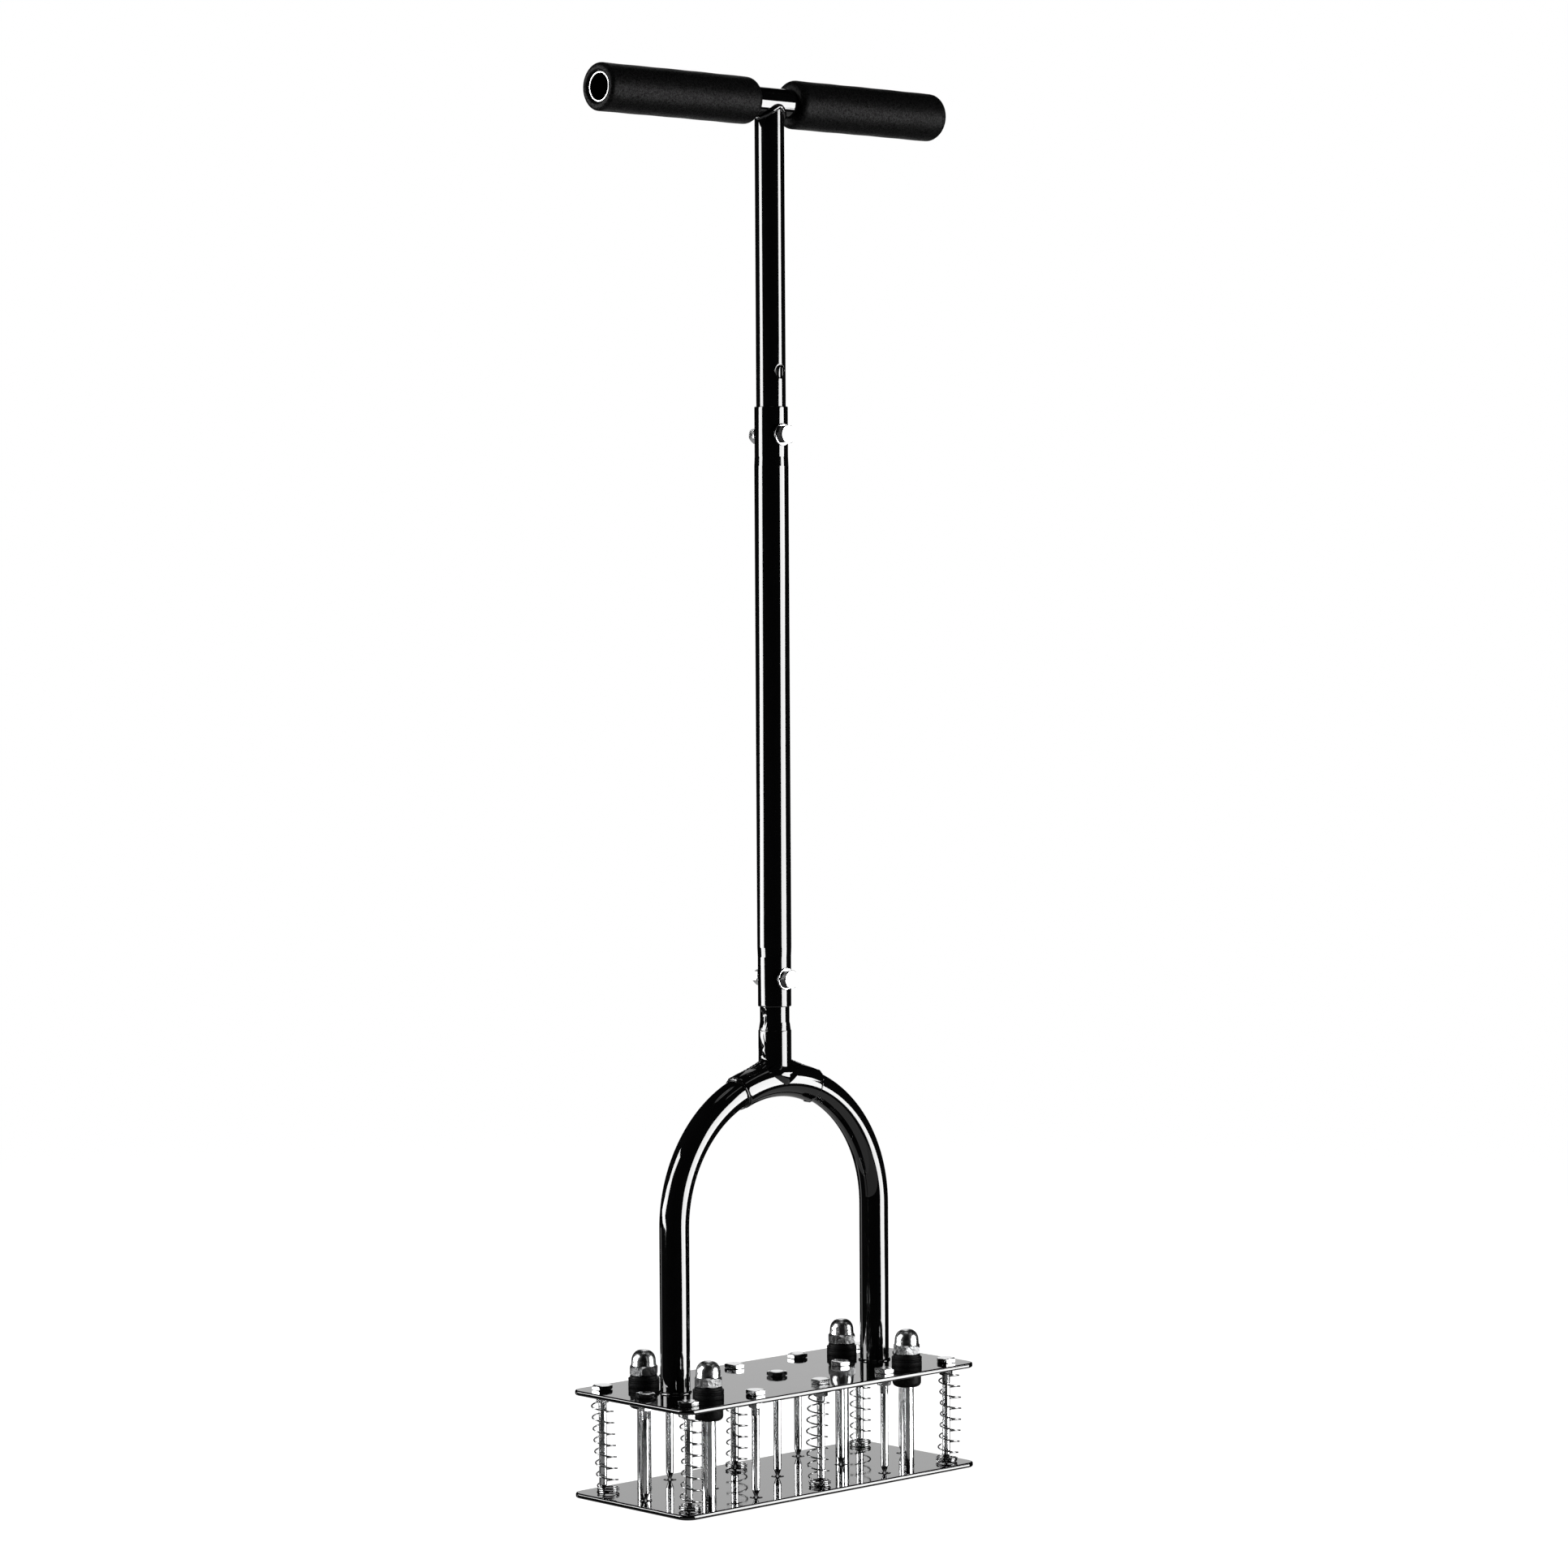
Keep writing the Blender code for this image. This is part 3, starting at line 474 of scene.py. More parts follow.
def swept(points, radius, sides, work=None, rounded=False):
    """A round bar along points. radius is a number, or a function of the share of the way along."""
    points = [Vector(p) for p in points]
    last = len(points) - 1
    across = None
    rings = []
    for i, here in enumerate(points):
        along = (points[min(i + 1, last)] - points[max(i - 1, 0)]).normalized()
        if across is None:
            across = along.orthogonal().normalized()
        across = (across - along * across.dot(along)).normalized()
        other = along.cross(across)
        size = radius(i / last) if callable(radius) else radius
        ring = []
        for angle in angles_round(sides):
            ring.append(here + (across * math.cos(angle) + other * math.sin(angle)) * size)
        rings.append(ring)
    if not rounded:
        return skinned([[points[0]], *rings, [points[-1]]], work=work)
    narrowed, shoulder, tip = 0.6, 0.5, 0.6
    size = (rings[0][0] - points[0]).length
    ends = []
    for ring, centre, inner in ((rings[0], *points[:2]), (rings[-1], *points[:-3:-1])):
        out = (centre - inner).normalized()
        cap = [centre + (p - centre) * narrowed + out * size * shoulder for p in ring]
        ends.append((cap, [centre + out * size * tip]))
    (low_cap, low_tip), (high_cap, high_tip) = ends
    return skinned([low_tip, low_cap, *rings, high_cap, high_tip], work=work)


def piece(name, work, material, body="frame", nodes=(), sharp=40.0):
    """The mesh as an object that rides on its body and stands for its nodes."""
    bmesh.ops.recalc_face_normals(work, faces=work.faces)
    mesh = bpy.data.meshes.new(name)
    work.to_mesh(mesh)
    work.free()
    mesh.shade_smooth()
    mesh.set_sharp_from_angle(angle=math.radians(sharp))
    mesh.materials.append(material)
    obj = bpy.data.objects.new(name, mesh)
    bpy.context.scene.collection.objects.link(obj)
    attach(obj, body)
    if nodes:
        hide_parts(*nodes)
    return obj


def hexagon(across_flats, low, high, turn, lower, upper, face=0.985, sides=72):
    """Rings of a hexagon from low to high. lower and upper are the slopes of its turned chamfers,
    and face is their circle's share of the distance across flats."""
    sector = math.pi / 3
    edge = face * across_flats / 2
    rings = [[], [], [], []]
    for angle in angles_round(sides):
        side = across_flats / 2 / math.cos((angle + sector / 2) % sector - sector / 2)
        drop = max(0.0, side - edge)
        rings[0].append(polar(edge, angle + turn, low))
        rings[1].append(polar(side, angle + turn, low + drop * lower))
        rings[2].append(polar(side, angle + turn, high - drop * upper))
        rings[3].append(polar(edge, angle + turn, high))
    return rings if lower else rings[1:]


def shifted(rings, x, y):
    return [[Vector((p[0] + x, p[1] + y, p[2])) for p in ring] for ring in rings]


def rounded_outline(corner, inset, height):
    """The outline of a plate with this corner, moved in by the inset."""
    radius = PLATE_CORNER - inset
    out = []
    for sign_x, sign_y, start in ((1, 1, 0), (-1, 1, 90), (-1, -1, 180), (1, -1, 270)):
        x = sign_x * (corner.x - PLATE_CORNER)
        y = sign_y * (corner.y - PLATE_CORNER)
        out += [Vector((*p, height)) for p in arc(x, y, radius, start, start + 90, steps=12)]
    return out


def edge_profile(easing, steps=6):
    """(inset, height) pairs of a plate's eased edge, from its top face down to its lower face."""
    pairs = []
    for i in range(steps + 1):
        angle = math.pi / 2 * i / steps
        pairs.append((easing * (1 - math.sin(angle)), -easing * (1 - math.cos(angle))))
    return pairs + [(inset, -PLATE_THICKNESS - height) for inset, height in reversed(pairs)]


def plate(name, node, holes, material, body, top):
    """A flat plate with rounded corners, round holes and eased edges."""
    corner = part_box(node)[1]
    edges = edge_profile(PLATE_EASING)
    loops = [[rounded_outline(corner, inset, top + z) for inset, z in edges]]
    for x, y, radius in holes:
        rings = [circle(radius + inset, top + z, 40) for inset, z in edge_profile(HOLE_EASING, 2)]
        loops.append(shifted(rings, x, y))
    work = bmesh.new()
    for rings in loops:
        skinned(rings, work=work)
    for end in (0, -1):
        borders = [rings[end] for rings in loops]
        flat = [work.verts.new(p) for border in borders for p in border]
        for corners in tessellate_polygon(borders):
            work.faces.new([flat[k] for k in corners])
    bmesh.ops.remove_doubles(work, verts=work.verts, dist=1e-7)
    obj = piece(name, work, material, body, [node], sharp=80)
    for polygon in obj.data.polygons:
        if abs(polygon.normal.z) > 0.9999:
            polygon.use_smooth = False
    return obj


def plates(black, bright):
    spikes = [middle(node) for node in nodes_of("spike_")]
    posts = [middle(node) for node in nodes_of("guide_post_")]
    holes = [(p.x, p.y, STRIPPER_HOLE) for p in spikes] + [(p.x, p.y, POST_HOLE) for p in posts]
    plate("stripper_plate_piece", "stripper_plate", holes, black, "stripper", PLATE_THICKNESS)
    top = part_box("spike_plate")[1].z
    holes = [(p.x, p.y, BUSHING_HOLE) for p in posts]
    holes += [(p.x, p.y, THREAD_RADIUS + FIT) for p in spikes]
    plate("spike_plate_piece", "spike_plate", holes, black, "frame", top)
    under = top - PLATE_THICKNESS
    low = under - NUT_HEIGHT
    bore = [(THREAD_RADIUS + FIT, low + 0.0004), (THREAD_RADIUS + 0.0005, low)]
    nuts = bmesh.new()
    for index, p in enumerate(spikes):
        turn = NUT_TURN + NUT_TURN_STEP * index
        nut = hexagon(NUT_ACROSS_FLATS, low, under, turn, lower=0.6, upper=0.0, sides=48)
        skinned(shifted(circles(bore, 48) + nut, p.x, p.y), work=nuts)
    piece("weld_nuts", nuts, bright, sharp=25)


def thread_radius(angle, height):
    share = (height / THREAD_PITCH - angle / (2 * math.pi)) % 1.0
    return THREAD_RADIUS - THREAD_DEPTH * abs(2 * share - 1)


def spike(node, bright):
    """Chamfered hex head, thread, plain shank and point."""
    low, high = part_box(node)
    x, y = (low.x + high.x) / 2, (low.y + high.y) / 2
    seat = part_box("spike_plate")[1].z
    row, column = node.split("_")[1:]
    turn = math.radians(HEAD_TURNS[row][int(column) - 1])
    top = high.z
    under = seat + HEAD_GAP
    head = hexagon(HEAD_ACROSS_FLATS, under, top, turn, lower=0.35, upper=0.5, face=0.89)
    head += circles([(HEAD_CROWN_RADIUS, top), (0.0, top)])
    work = skinned(shifted(head, x, y))
    thread_end = seat - PLATE_THICKNESS - NUT_HEIGHT - THREAD_BELOW_NUT
    steps = int((seat - thread_end) / THREAD_PITCH * THREAD_STEPS)
    sides = 28
    rings = []
    for i in range(steps + 1):
        z = seat - (seat - thread_end) * i / steps
        rings.append([polar(thread_radius(a, z), a, z, x, y) for a in angles_round(sides)])
    shank = [
        (SHANK_RADIUS - 0.0002, thread_end), (SHANK_RADIUS, thread_end - 0.0004),
        (SHANK_RADIUS, low.z + TIP_LENGTH), (TIP_RADIUS, low.z), (0.0, low.z),
    ]
    rings += shifted(circles(eased(shank, 0.0006), sides), x, y)
    skinned(rings, work=work)
    piece(node + "_piece", work, bright, nodes=[node], sharp=30)


def spring(node, bright):
    """A left-handed compression spring with closed ends that leans a little on its spike."""
    low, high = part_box(node)
    x, y = (low.x + high.x) / 2, (low.y + high.y) / 2
    start, *leans = SPRINGS[node]
    foot, waist, head = (v / 1000 for v in leans)
    bottom = low.z - SPRING_LIFT + WIRE_RADIUS
    top = high.z + SPRING_LIFT - WIRE_RADIUS
    closed, rising, upper, steps = 2.0, 8.0, 0.6, 28
    pitch = 2 * WIRE_RADIUS + SPRING_CLOSED_GAP
    gap = (top - bottom - (closed + upper) * pitch) / rising
    total = closed + rising + upper
    count = int(total * steps)
    bend = 2 * waist - (foot + head) / 2
    points = []
    for i in range(count + 1):
        turned = total * i / count
        first = min(turned, closed)
        last = max(0.0, turned - closed - rising)
        z = bottom + (first + last) * pitch + (turned - first - last) * gap
        rise = (z - bottom) / (top - bottom)
        lean = foot * (1 - rise) ** 2 + bend * 2 * rise * (1 - rise) + head * rise**2
        angle = math.radians(start) - 2 * math.pi * turned
        points.append((
            x + SPRING_RADIUS * math.cos(angle) + lean * CAMERA_RIGHT[0],
            y + SPRING_RADIUS * math.sin(angle) + lean * CAMERA_RIGHT[1],
            z,
        ))
    work = swept(points, WIRE_RADIUS, 10)
    obj = piece(node + "_piece", work, bright, nodes=[node], sharp=60)
    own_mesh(obj)


def guide(corner, bright, nut_metal, shade_painted_metal, black_rubber):
    """A guide post, its domed nut and the rubber bushing that it runs in."""
    node = "guide_post_" + corner
    low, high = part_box(node)
    x, y = (low.x + high.x) / 2, (low.y + high.y) / 2
    profile = [(0.0, high.z), (POST_RADIUS - POST_CHAMFER, high.z)]
    profile += [(POST_RADIUS, high.z - POST_CHAMFER), (POST_RADIUS, PLATE_THICKNESS * 0.5)]
    profile += [(POST_RADIUS, low.z), (0.0, low.z)]
    post = spun(profile, 56, place=(x, y, 0))
    piece(node + "_piece", post, bright, "stripper", [node])

    node = "cap_nut_" + corner
    low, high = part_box(node)
    top = low.z + CAP_HEX_HEIGHT
    turn = math.radians(CAP_TURNS[corner])
    sides = hexagon(CAP_ACROSS_FLATS, low.z, top, turn, lower=0.6, upper=0.85, face=0.955)
    base = high.z - CAP_DOME_RADIUS
    dome = [(radius, top + up) for radius, up in CAP_COLLAR] + [(CAP_DOME_RADIUS, base)]
    for i in range(1, 18):
        angle = math.radians(5 * i)
        out, up = math.cos(angle) ** CAP_DOME_FULLNESS, math.sin(angle) ** CAP_DOME_FULLNESS
        dome.append((CAP_DOME_RADIUS * out, base + CAP_DOME_RADIUS * up))
    rings = [circle(0.0, low.z), *sides, *circles([*dome, (0.0, high.z)])]
    nut = skinned(shifted(rings, x, y))
    obj = piece(node + "_piece", nut, nut_metal, "stripper", [node], sharp=28)
    # The hex sides below the dome take the dark metal, whose colour is painted shade
    repainted(obj, shade_painted_metal, lambda f: abs(f.normal.z) < 0.3 and f.center.z < top)

    node = "bushing_" + corner
    low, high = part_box(node)
    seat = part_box("spike_plate")[1].z
    under = seat - PLATE_THICKNESS
    step = high.z - BUSHING_TOP_STEP
    bore = POST_RADIUS + FIT
    profile = [(bore, high.z), (BUSHING_TOP, high.z), (BUSHING_TOP, step), (BUSHING_FLANGE, step)]
    for down in BUSHING_GROOVES:
        profile += [(BUSHING_FLANGE - inward, step - down - lower) for inward, lower in GROOVE]
    profile += [(BUSHING_FLANGE, seat), (BUSHING_HOLE, seat)]
    profile += [(BUSHING_HOLE, under), (BUSHING_LOWER, under)]
    r = BUSHING_ROUNDING
    profile += [*arc(BUSHING_LOWER - r, low.z + r, r, 0, -90), (bore, low.z)]
    profile = eased(profile, 0.0003, 2, closed=True)
    bushing = spun(profile, 64, wrap=True, place=(x, y, 0))
    piece(node + "_piece", bushing, black_rubber, nodes=[node], sharp=50)


def ripple(angle, height, size):
    """Uneven height of a weld bead, the same on each run."""
    return size * (
        0.5 * math.sin(9 * angle + 1.3 + 900 * height)
        + 0.3 * math.sin(17 * angle + 0.4)
        + 0.2 * math.sin(31 * angle + 2.1)
    )


def fork(black):
    """The bent tube, with its weld beads on the spike plate."""
    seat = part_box("spike_plate")[1].z
    leg = [seat + (ARCH_CENTRE - seat) * i / 6 for i in range(6)]
    points = [(-FORK_RADIUS, 0, z) for z in leg]
    points += [(x, 0, z) for x, z in arc(0, ARCH_CENTRE, FORK_RADIUS, 180, 0, steps=96)]
    points += [(FORK_RADIUS, 0, z) for z in reversed(leg)]
    work = swept(points, TUBE_RADIUS, 72)
    bead = [(TUBE_RADIUS + out, seat + up) for out, up in FORK_BEAD]
    for sign in (-1, 1):

        def uneven(angle, radius, height, sign=sign):
            swell = ripple(angle, sign, FORK_BEAD_RIPPLE)
            return radius + swell * (radius - TUBE_RADIUS), height

        spun(bead, 96, shape=uneven, work=work, place=(sign * FORK_RADIUS, 0, 0))
    piece("fork_tube_piece", work, black, nodes=["fork_tube"], sharp=60)


def sleeve_top(x, y):
    """Height of the crown sleeve's outer surface over a point, on its upper side."""
    across = math.sqrt(max(SLEEVE_RADIUS**2 - y * y, 0.0))
    return ARCH_CENTRE + math.sqrt((FORK_RADIUS + across) ** 2 - x * x)


def crown(black):
    """The fitting over the top of the arch: sleeve, coped neck, side webs and their welds."""
    steps, sides, levels = 40, 120, 24
    width = 2 * SLEEVE_HALF_ANGLE

    def thickness(share):
        edge = min(share, 1 - share) * width * FORK_RADIUS
        if edge >= SLEEVE_ROUNDING:
            return SLEEVE_RADIUS
        inside = SLEEVE_ROUNDING**2 - (SLEEVE_ROUNDING - edge) ** 2
        return SLEEVE_RADIUS - SLEEVE_ROUNDING + math.sqrt(max(inside, 0.0))

    ends = [i / 4 * SLEEVE_ROUNDING / FORK_RADIUS for i in range(4)]
    angles = [end - SLEEVE_HALF_ANGLE for end in ends]
    angles += [width * i / steps - SLEEVE_HALF_ANGLE for i in range(1, steps)]
    angles += [SLEEVE_HALF_ANGLE - end for end in reversed(ends)]
    sizes = [thickness((a + SLEEVE_HALF_ANGLE) / width) for a in angles]
    points = [Vector((math.sin(a), 0, math.cos(a))) * FORK_RADIUS for a in angles]
    points = [p + Vector((0, 0, ARCH_CENTRE)) for p in points]
    work = swept(points, lambda share: sizes[round(share * (len(sizes) - 1))], 72)

    web_top = ARCH_CENTRE + FORK_RADIUS + WEB_RISE
    rings = []
    for level in range(levels + 1):
        share = level / levels
        ring = []
        for angle in angles_round(sides):
            cos, sin = math.cos(angle), math.sin(angle)
            foot = 1 / math.sqrt((cos / WEB_REACH) ** 2 + (sin / WEB_WIDTH) ** 2)
            foot = (NECK_RADIUS**8 + foot**8) ** 0.125
            y = max(-SLEEVE_RADIUS, min(SLEEVE_RADIUS, foot * sin))
            ground = sleeve_top(foot * cos, y) - WEB_SUNK
            radius = NECK_RADIUS + (foot - NECK_RADIUS) * share**WEB_FLARE
            ring.append(polar(radius, angle, web_top + (ground - web_top) * share))
        rings.append(ring)
    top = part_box("fork_crown")[1].z + NECK_TAPER_TOP
    lip = top - NECK_TAPER_LENGTH
    neck = [
        (0.0, top), (TUBE_RADIUS - 0.0003, top), (TUBE_RADIUS + 0.0003, top - 0.0028),
        (NECK_RADIUS - 0.0004, lip + 0.0004), (NECK_RADIUS - 0.0004, lip),
        (NECK_RADIUS - 0.0001, lip - 0.0001), (NECK_RADIUS, lip - 0.0003),
        (NECK_RADIUS, lip - 0.0010), (NECK_RADIUS, web_top + 0.0010),
    ]
    skinned(circles(neck, sides) + rings, work=work)
    ground = sleeve_top(WEB_REACH, 0) - WEB_SUNK

    def ridge_size(share):
        return 0.0008 + ripple(6 * share, 0.2, 0.00015)

    for side in (-1, 1):
        saddle(side, work)
        edge = []
        for level in range(levels + 1):
            share = level / levels
            reach = NECK_RADIUS + (WEB_REACH - NECK_RADIUS) * share**WEB_FLARE
            height = web_top + (ground - web_top) * share
            edge.append((side * (reach - 0.0003), 0.0008, height - 0.0001))
        swept(edge, ridge_size, 12, work=work, rounded=True)
    for sign in (-1, 1):
        sleeve_weld(sign, work)
    node = "fork_crown"
    piece(node + "_piece", work, black, nodes=[node], sharp=50)


def saddle(side, work):
    """The tongue below the neck, laid over the sleeve on its front or back and welded round."""
    rings = []
    columns, rows = 32, 14
    for row in range(rows + 1):
        share = row / rows
        ring = []
        for i in range(columns + 1):
            across = 2 * i / columns - 1
            lean = math.asin(SADDLE_HALF_WIDTH * across / (FORK_RADIUS + SLEEVE_RADIUS))
            tip = math.radians(56 + 52 * (1 - abs(across) ** 1.4))
            section = SADDLE_START + (tip - SADDLE_START) * share
            inside = min(1.0, 1.3 * min(1 - abs(across), (1 - share) * 1.3))
            reach = SLEEVE_RADIUS + SADDLE_RISE * inside * inside * (3 - 2 * inside) - 0.0001
            out = FORK_RADIUS + reach * math.cos(section)
            y = side * reach * math.sin(section)
            ring.append(Vector((out * math.sin(lean), y, ARCH_CENTRE + out * math.cos(lean))))
        rings.append(ring)
    grid = [[work.verts.new(p) for p in ring] for ring in rings]
    for low, high in zip(grid, grid[1:]):
        for i in range(columns):
            work.faces.new((low[i], low[i + 1], high[i + 1], high[i]))


def sleeve_weld(sign, work):
    """The uneven bead round an end of the sleeve, with a drip under the arch."""
    angle = sign * (SLEEVE_HALF_ANGLE + 0.003)
    out = Vector((math.sin(angle), 0, math.cos(angle)))
    ahead = Vector((0, 1, 0))
    centre = Vector((0, 0, ARCH_CENTRE)) + out * FORK_RADIUS
    points = []
    for turn in angles_round(72):
        beside = out * math.cos(turn) + ahead * math.sin(turn)
        points.append(centre + beside * (TUBE_RADIUS + 0.0003))

    def size(share):
        top = max(0.0, math.cos(2 * math.pi * share)) ** 3
        return 0.0007 + 0.0007 * top + ripple(2 * math.pi * share, 0.31 * sign, 0.00022)

    swept([*points, points[0]], size, 10, work=work)
    along = Vector((math.cos(angle), 0, -math.sin(angle))) * sign
    root = centre - out * (TUBE_RADIUS + 0.0004) - along * 0.0026
    pairs = ((-0.0004, 0.0), (-0.0003, 0.0020), (0.0, 0.0044), (0.0008, 0.0056))
    drip = [root + out * lift + along * reach for lift, reach in pairs]
    swept(drip, lambda share: 0.0015 - 0.0005 * share, 12, work=work, rounded=True)


def upright(node, outline, bore, black):
    """An upright tube. Its outline is (radius, distance) pairs from each end inwards."""
    low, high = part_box(node)
    profile = [(bore, high.z), *((radius, high.z - inward) for radius, inward in outline)]
    profile += [*((radius, low.z + inward) for radius, inward in reversed(outline)), (bore, low.z)]
    work = spun(held(eased(profile, 0.0005, closed=True)), POLE_SIDES, wrap=True)
    piece(node + "_piece", work, black, nodes=[node], sharp=50)


def cope(axis, y):
    """Height of the upper tube's coped end, this far in front of the crossbar's axis."""
    return axis - math.sqrt(TUBE_RADIUS**2 - (COPE_FULLNESS * y) ** 2)


def pole(black, run_black):
    upright("neck_stem", [(TUBE_RADIUS, 0)], TUBE_BORE, run_black)
    ends = [(POLE_END_RADIUS, 0), (POLE_END_RADIUS, POLE_END_LENGTH - POLE_END_BLEND)]
    upright("middle_tube", [*ends, (POLE_RADIUS, POLE_END_LENGTH)], TUBE_RADIUS + FIT, black)
    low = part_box("upper_tube")[0].z
    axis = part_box("handle_crossbar")[0].z + TUBE_RADIUS
    reach = TUBE_RADIUS - WALL_EDGE
    work = bmesh.new()
    drilled_wall(TUBE_RADIUS, low, axis, work)
    drilled_wall(TUBE_BORE, low, axis, work)
    skinned(circles([(TUBE_BORE, low), (TUBE_RADIUS, low)], POLE_SIDES), work=work)
    for side in (-1, 1):
        skinned([hole_ring(reach, side), hole_ring(TUBE_BORE, side)], work=work)
    bead = []
    for angle in angles_round(144):
        bead.append(polar(reach, angle, cope(axis, reach * math.sin(angle)) - WALL_EDGE))

    def size(share):
        return 0.0019 + ripple(2 * math.pi * share, 0.5, 0.00012)

    swept([*bead, bead[0]], size, 20, work=work)
    bmesh.ops.remove_doubles(work, verts=work.verts, dist=1e-7)
    node = "upper_tube"
    piece(node + "_piece", work, black, nodes=[node], sharp=50)


def pad_height(row):
    """Height of a row of the patch round the spare hole, counted from the hole's middle."""
    return SPARE_HOLE_HEIGHT + HOLE_PAD_HEIGHT * row / HOLE_PAD_COLUMNS


def pad_ring(side):
    """The outline of the patch round the spare hole, as (angle, height) pairs."""
    n = HOLE_PAD_COLUMNS
    step = 2 * math.pi / POLE_SIDES
    pairs = [(i, -n) for i in range(-n, n)] + [(n, i) for i in range(-n, n)]
    pairs += [(-i, n) for i in range(-n, n)] + [(-n, -i) for i in range(-n, n)]
    return [(side * (math.pi / 2 + i * step), pad_height(j)) for i, j in pairs]


def on_face(radius, side, x, z):
    """The point at this x and height on a tube's back (side 1) or front (side -1)."""
    return Vector((x, side * math.sqrt(radius**2 - x * x), z))


def hole_ring(radius, side, wider=0.0):
    """The rim of the spare hole on a tube of this radius."""
    out = []
    reach = SPARE_HOLE_RADIUS + wider
    for angle, height in pad_ring(side):
        turn = math.atan2(height - SPARE_HOLE_HEIGHT, TUBE_RADIUS * math.cos(angle))
        z = SPARE_HOLE_HEIGHT + reach * math.sin(turn)
        out.append(on_face(radius, side, reach * math.cos(turn), z))
    return out


def drilled_wall(radius, low, axis, work):
    """A tube wall from low up to the crossbar's cope, with the spare hole through it along Y."""
    n, sides = HOLE_PAD_COLUMNS, POLE_SIDES
    heights = [low, (low + SPARE_HOLE_HEIGHT) / 2, *map(pad_height, range(-n, n + 1))]
    rings = [circle(radius, z, sides) for z in heights]
    top = [polar(radius, a, cope(axis, radius * math.sin(a))) for a in angles_round(sides)]
    skinned(rings[:3], work=work)
    skinned([rings[-1], top], work=work)
    for lower, upper in zip(rings[2:], rings[3:]):
        for i in range(sides):
            if any(quarter - n <= i < quarter + n for quarter in (sides // 4, 3 * sides // 4)):
                continue
            j = (i + 1) % sides
            corners = (lower[i], lower[j], upper[j], upper[i])
            work.faces.new([work.verts.new(p) for p in corners])
    inner = radius if radius < TUBE_RADIUS else radius - WALL_EDGE
    for side in (-1, 1):
        outline = [polar(radius, angle, height) for angle, height in pad_ring(side)]
        rim = hole_ring(radius, side, SPARE_HOLE_EASING)
        between = []
        for start, end in zip(outline, rim):
            x, z = (start.x + 2 * end.x) / 3, (start.z + 2 * end.z) / 3
            between.append(on_face(radius, side, x, z))
        edge = [hole_ring(radius - 0.00012, side, 0.0001), hole_ring(inner, side)]
        skinned([outline, between, rim, *edge], work=work)


def handle(black, foam_black, steel):
    low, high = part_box("handle_crossbar")
    axis = (low.z + high.z) / 2
    start = low.x + BAR_RECESS
    length = high.x - BAR_RECESS - start
    turn = Matrix.Rotation(math.pi / 2, 3, "Y")
    profile = [(TUBE_BORE, length), (TUBE_RADIUS, length), (TUBE_RADIUS, 0), (TUBE_BORE, 0)]
    profile = held(eased(profile, 0.0003, 2, closed=True))
    work = spun(profile, POLE_SIDES, wrap=True, place=(start, 0, axis), turn=turn)
    node = "handle_crossbar"
    bar = piece(node + "_piece", work, black, nodes=[node])
    repainted(bar, steel, lambda f: abs(f.normal.x) > 0.95)
    for side in ("left", "right"):
        node = "grip_" + side
        low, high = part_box(node)
        length = high.x - low.x
        inner, full = TUBE_RADIUS + FIT, GRIP_RADII[side]
        r, rows = GRIP_ROUNDING, 60
        lip, back = (GRIP_LIP, GRIP_BACK) if side == "left" else (r, 0.0)
        run = length - r - lip - back
        profile = [(inner, length), (inner + 0.0008, length)]
        profile += arc(full - r, length - r, r, 90, 0)
        profile += [(full, length - r - run * i / rows) for i in range(1, rows)]
        profile += arc(full - lip, back + lip, lip, 0, -90)
        if back:
            profile += arc(full - lip, back + GRIP_FLARE, GRIP_FLARE, -105, -180, steps=5)
            profile.append((inner, back + GRIP_FLARE + 0.002))
        else:
            profile += [(inner + 0.0008, 0), (inner, 0)]

        def soft(angle, radius, height, full=full):
            if radius < full - 0.001:
                return radius, height
            swell = math.sin(23 * height * 10 + 2 * angle) + math.sin(3 * angle + 61 * height)
            return radius - 0.00012 + 0.00006 * swell, height

        work = spun(profile, POLE_SIDES, soft, wrap=True, place=(low.x, 0, axis), turn=turn)
        obj = piece(node + "_piece", work, foam_black, nodes=[node], sharp=60)


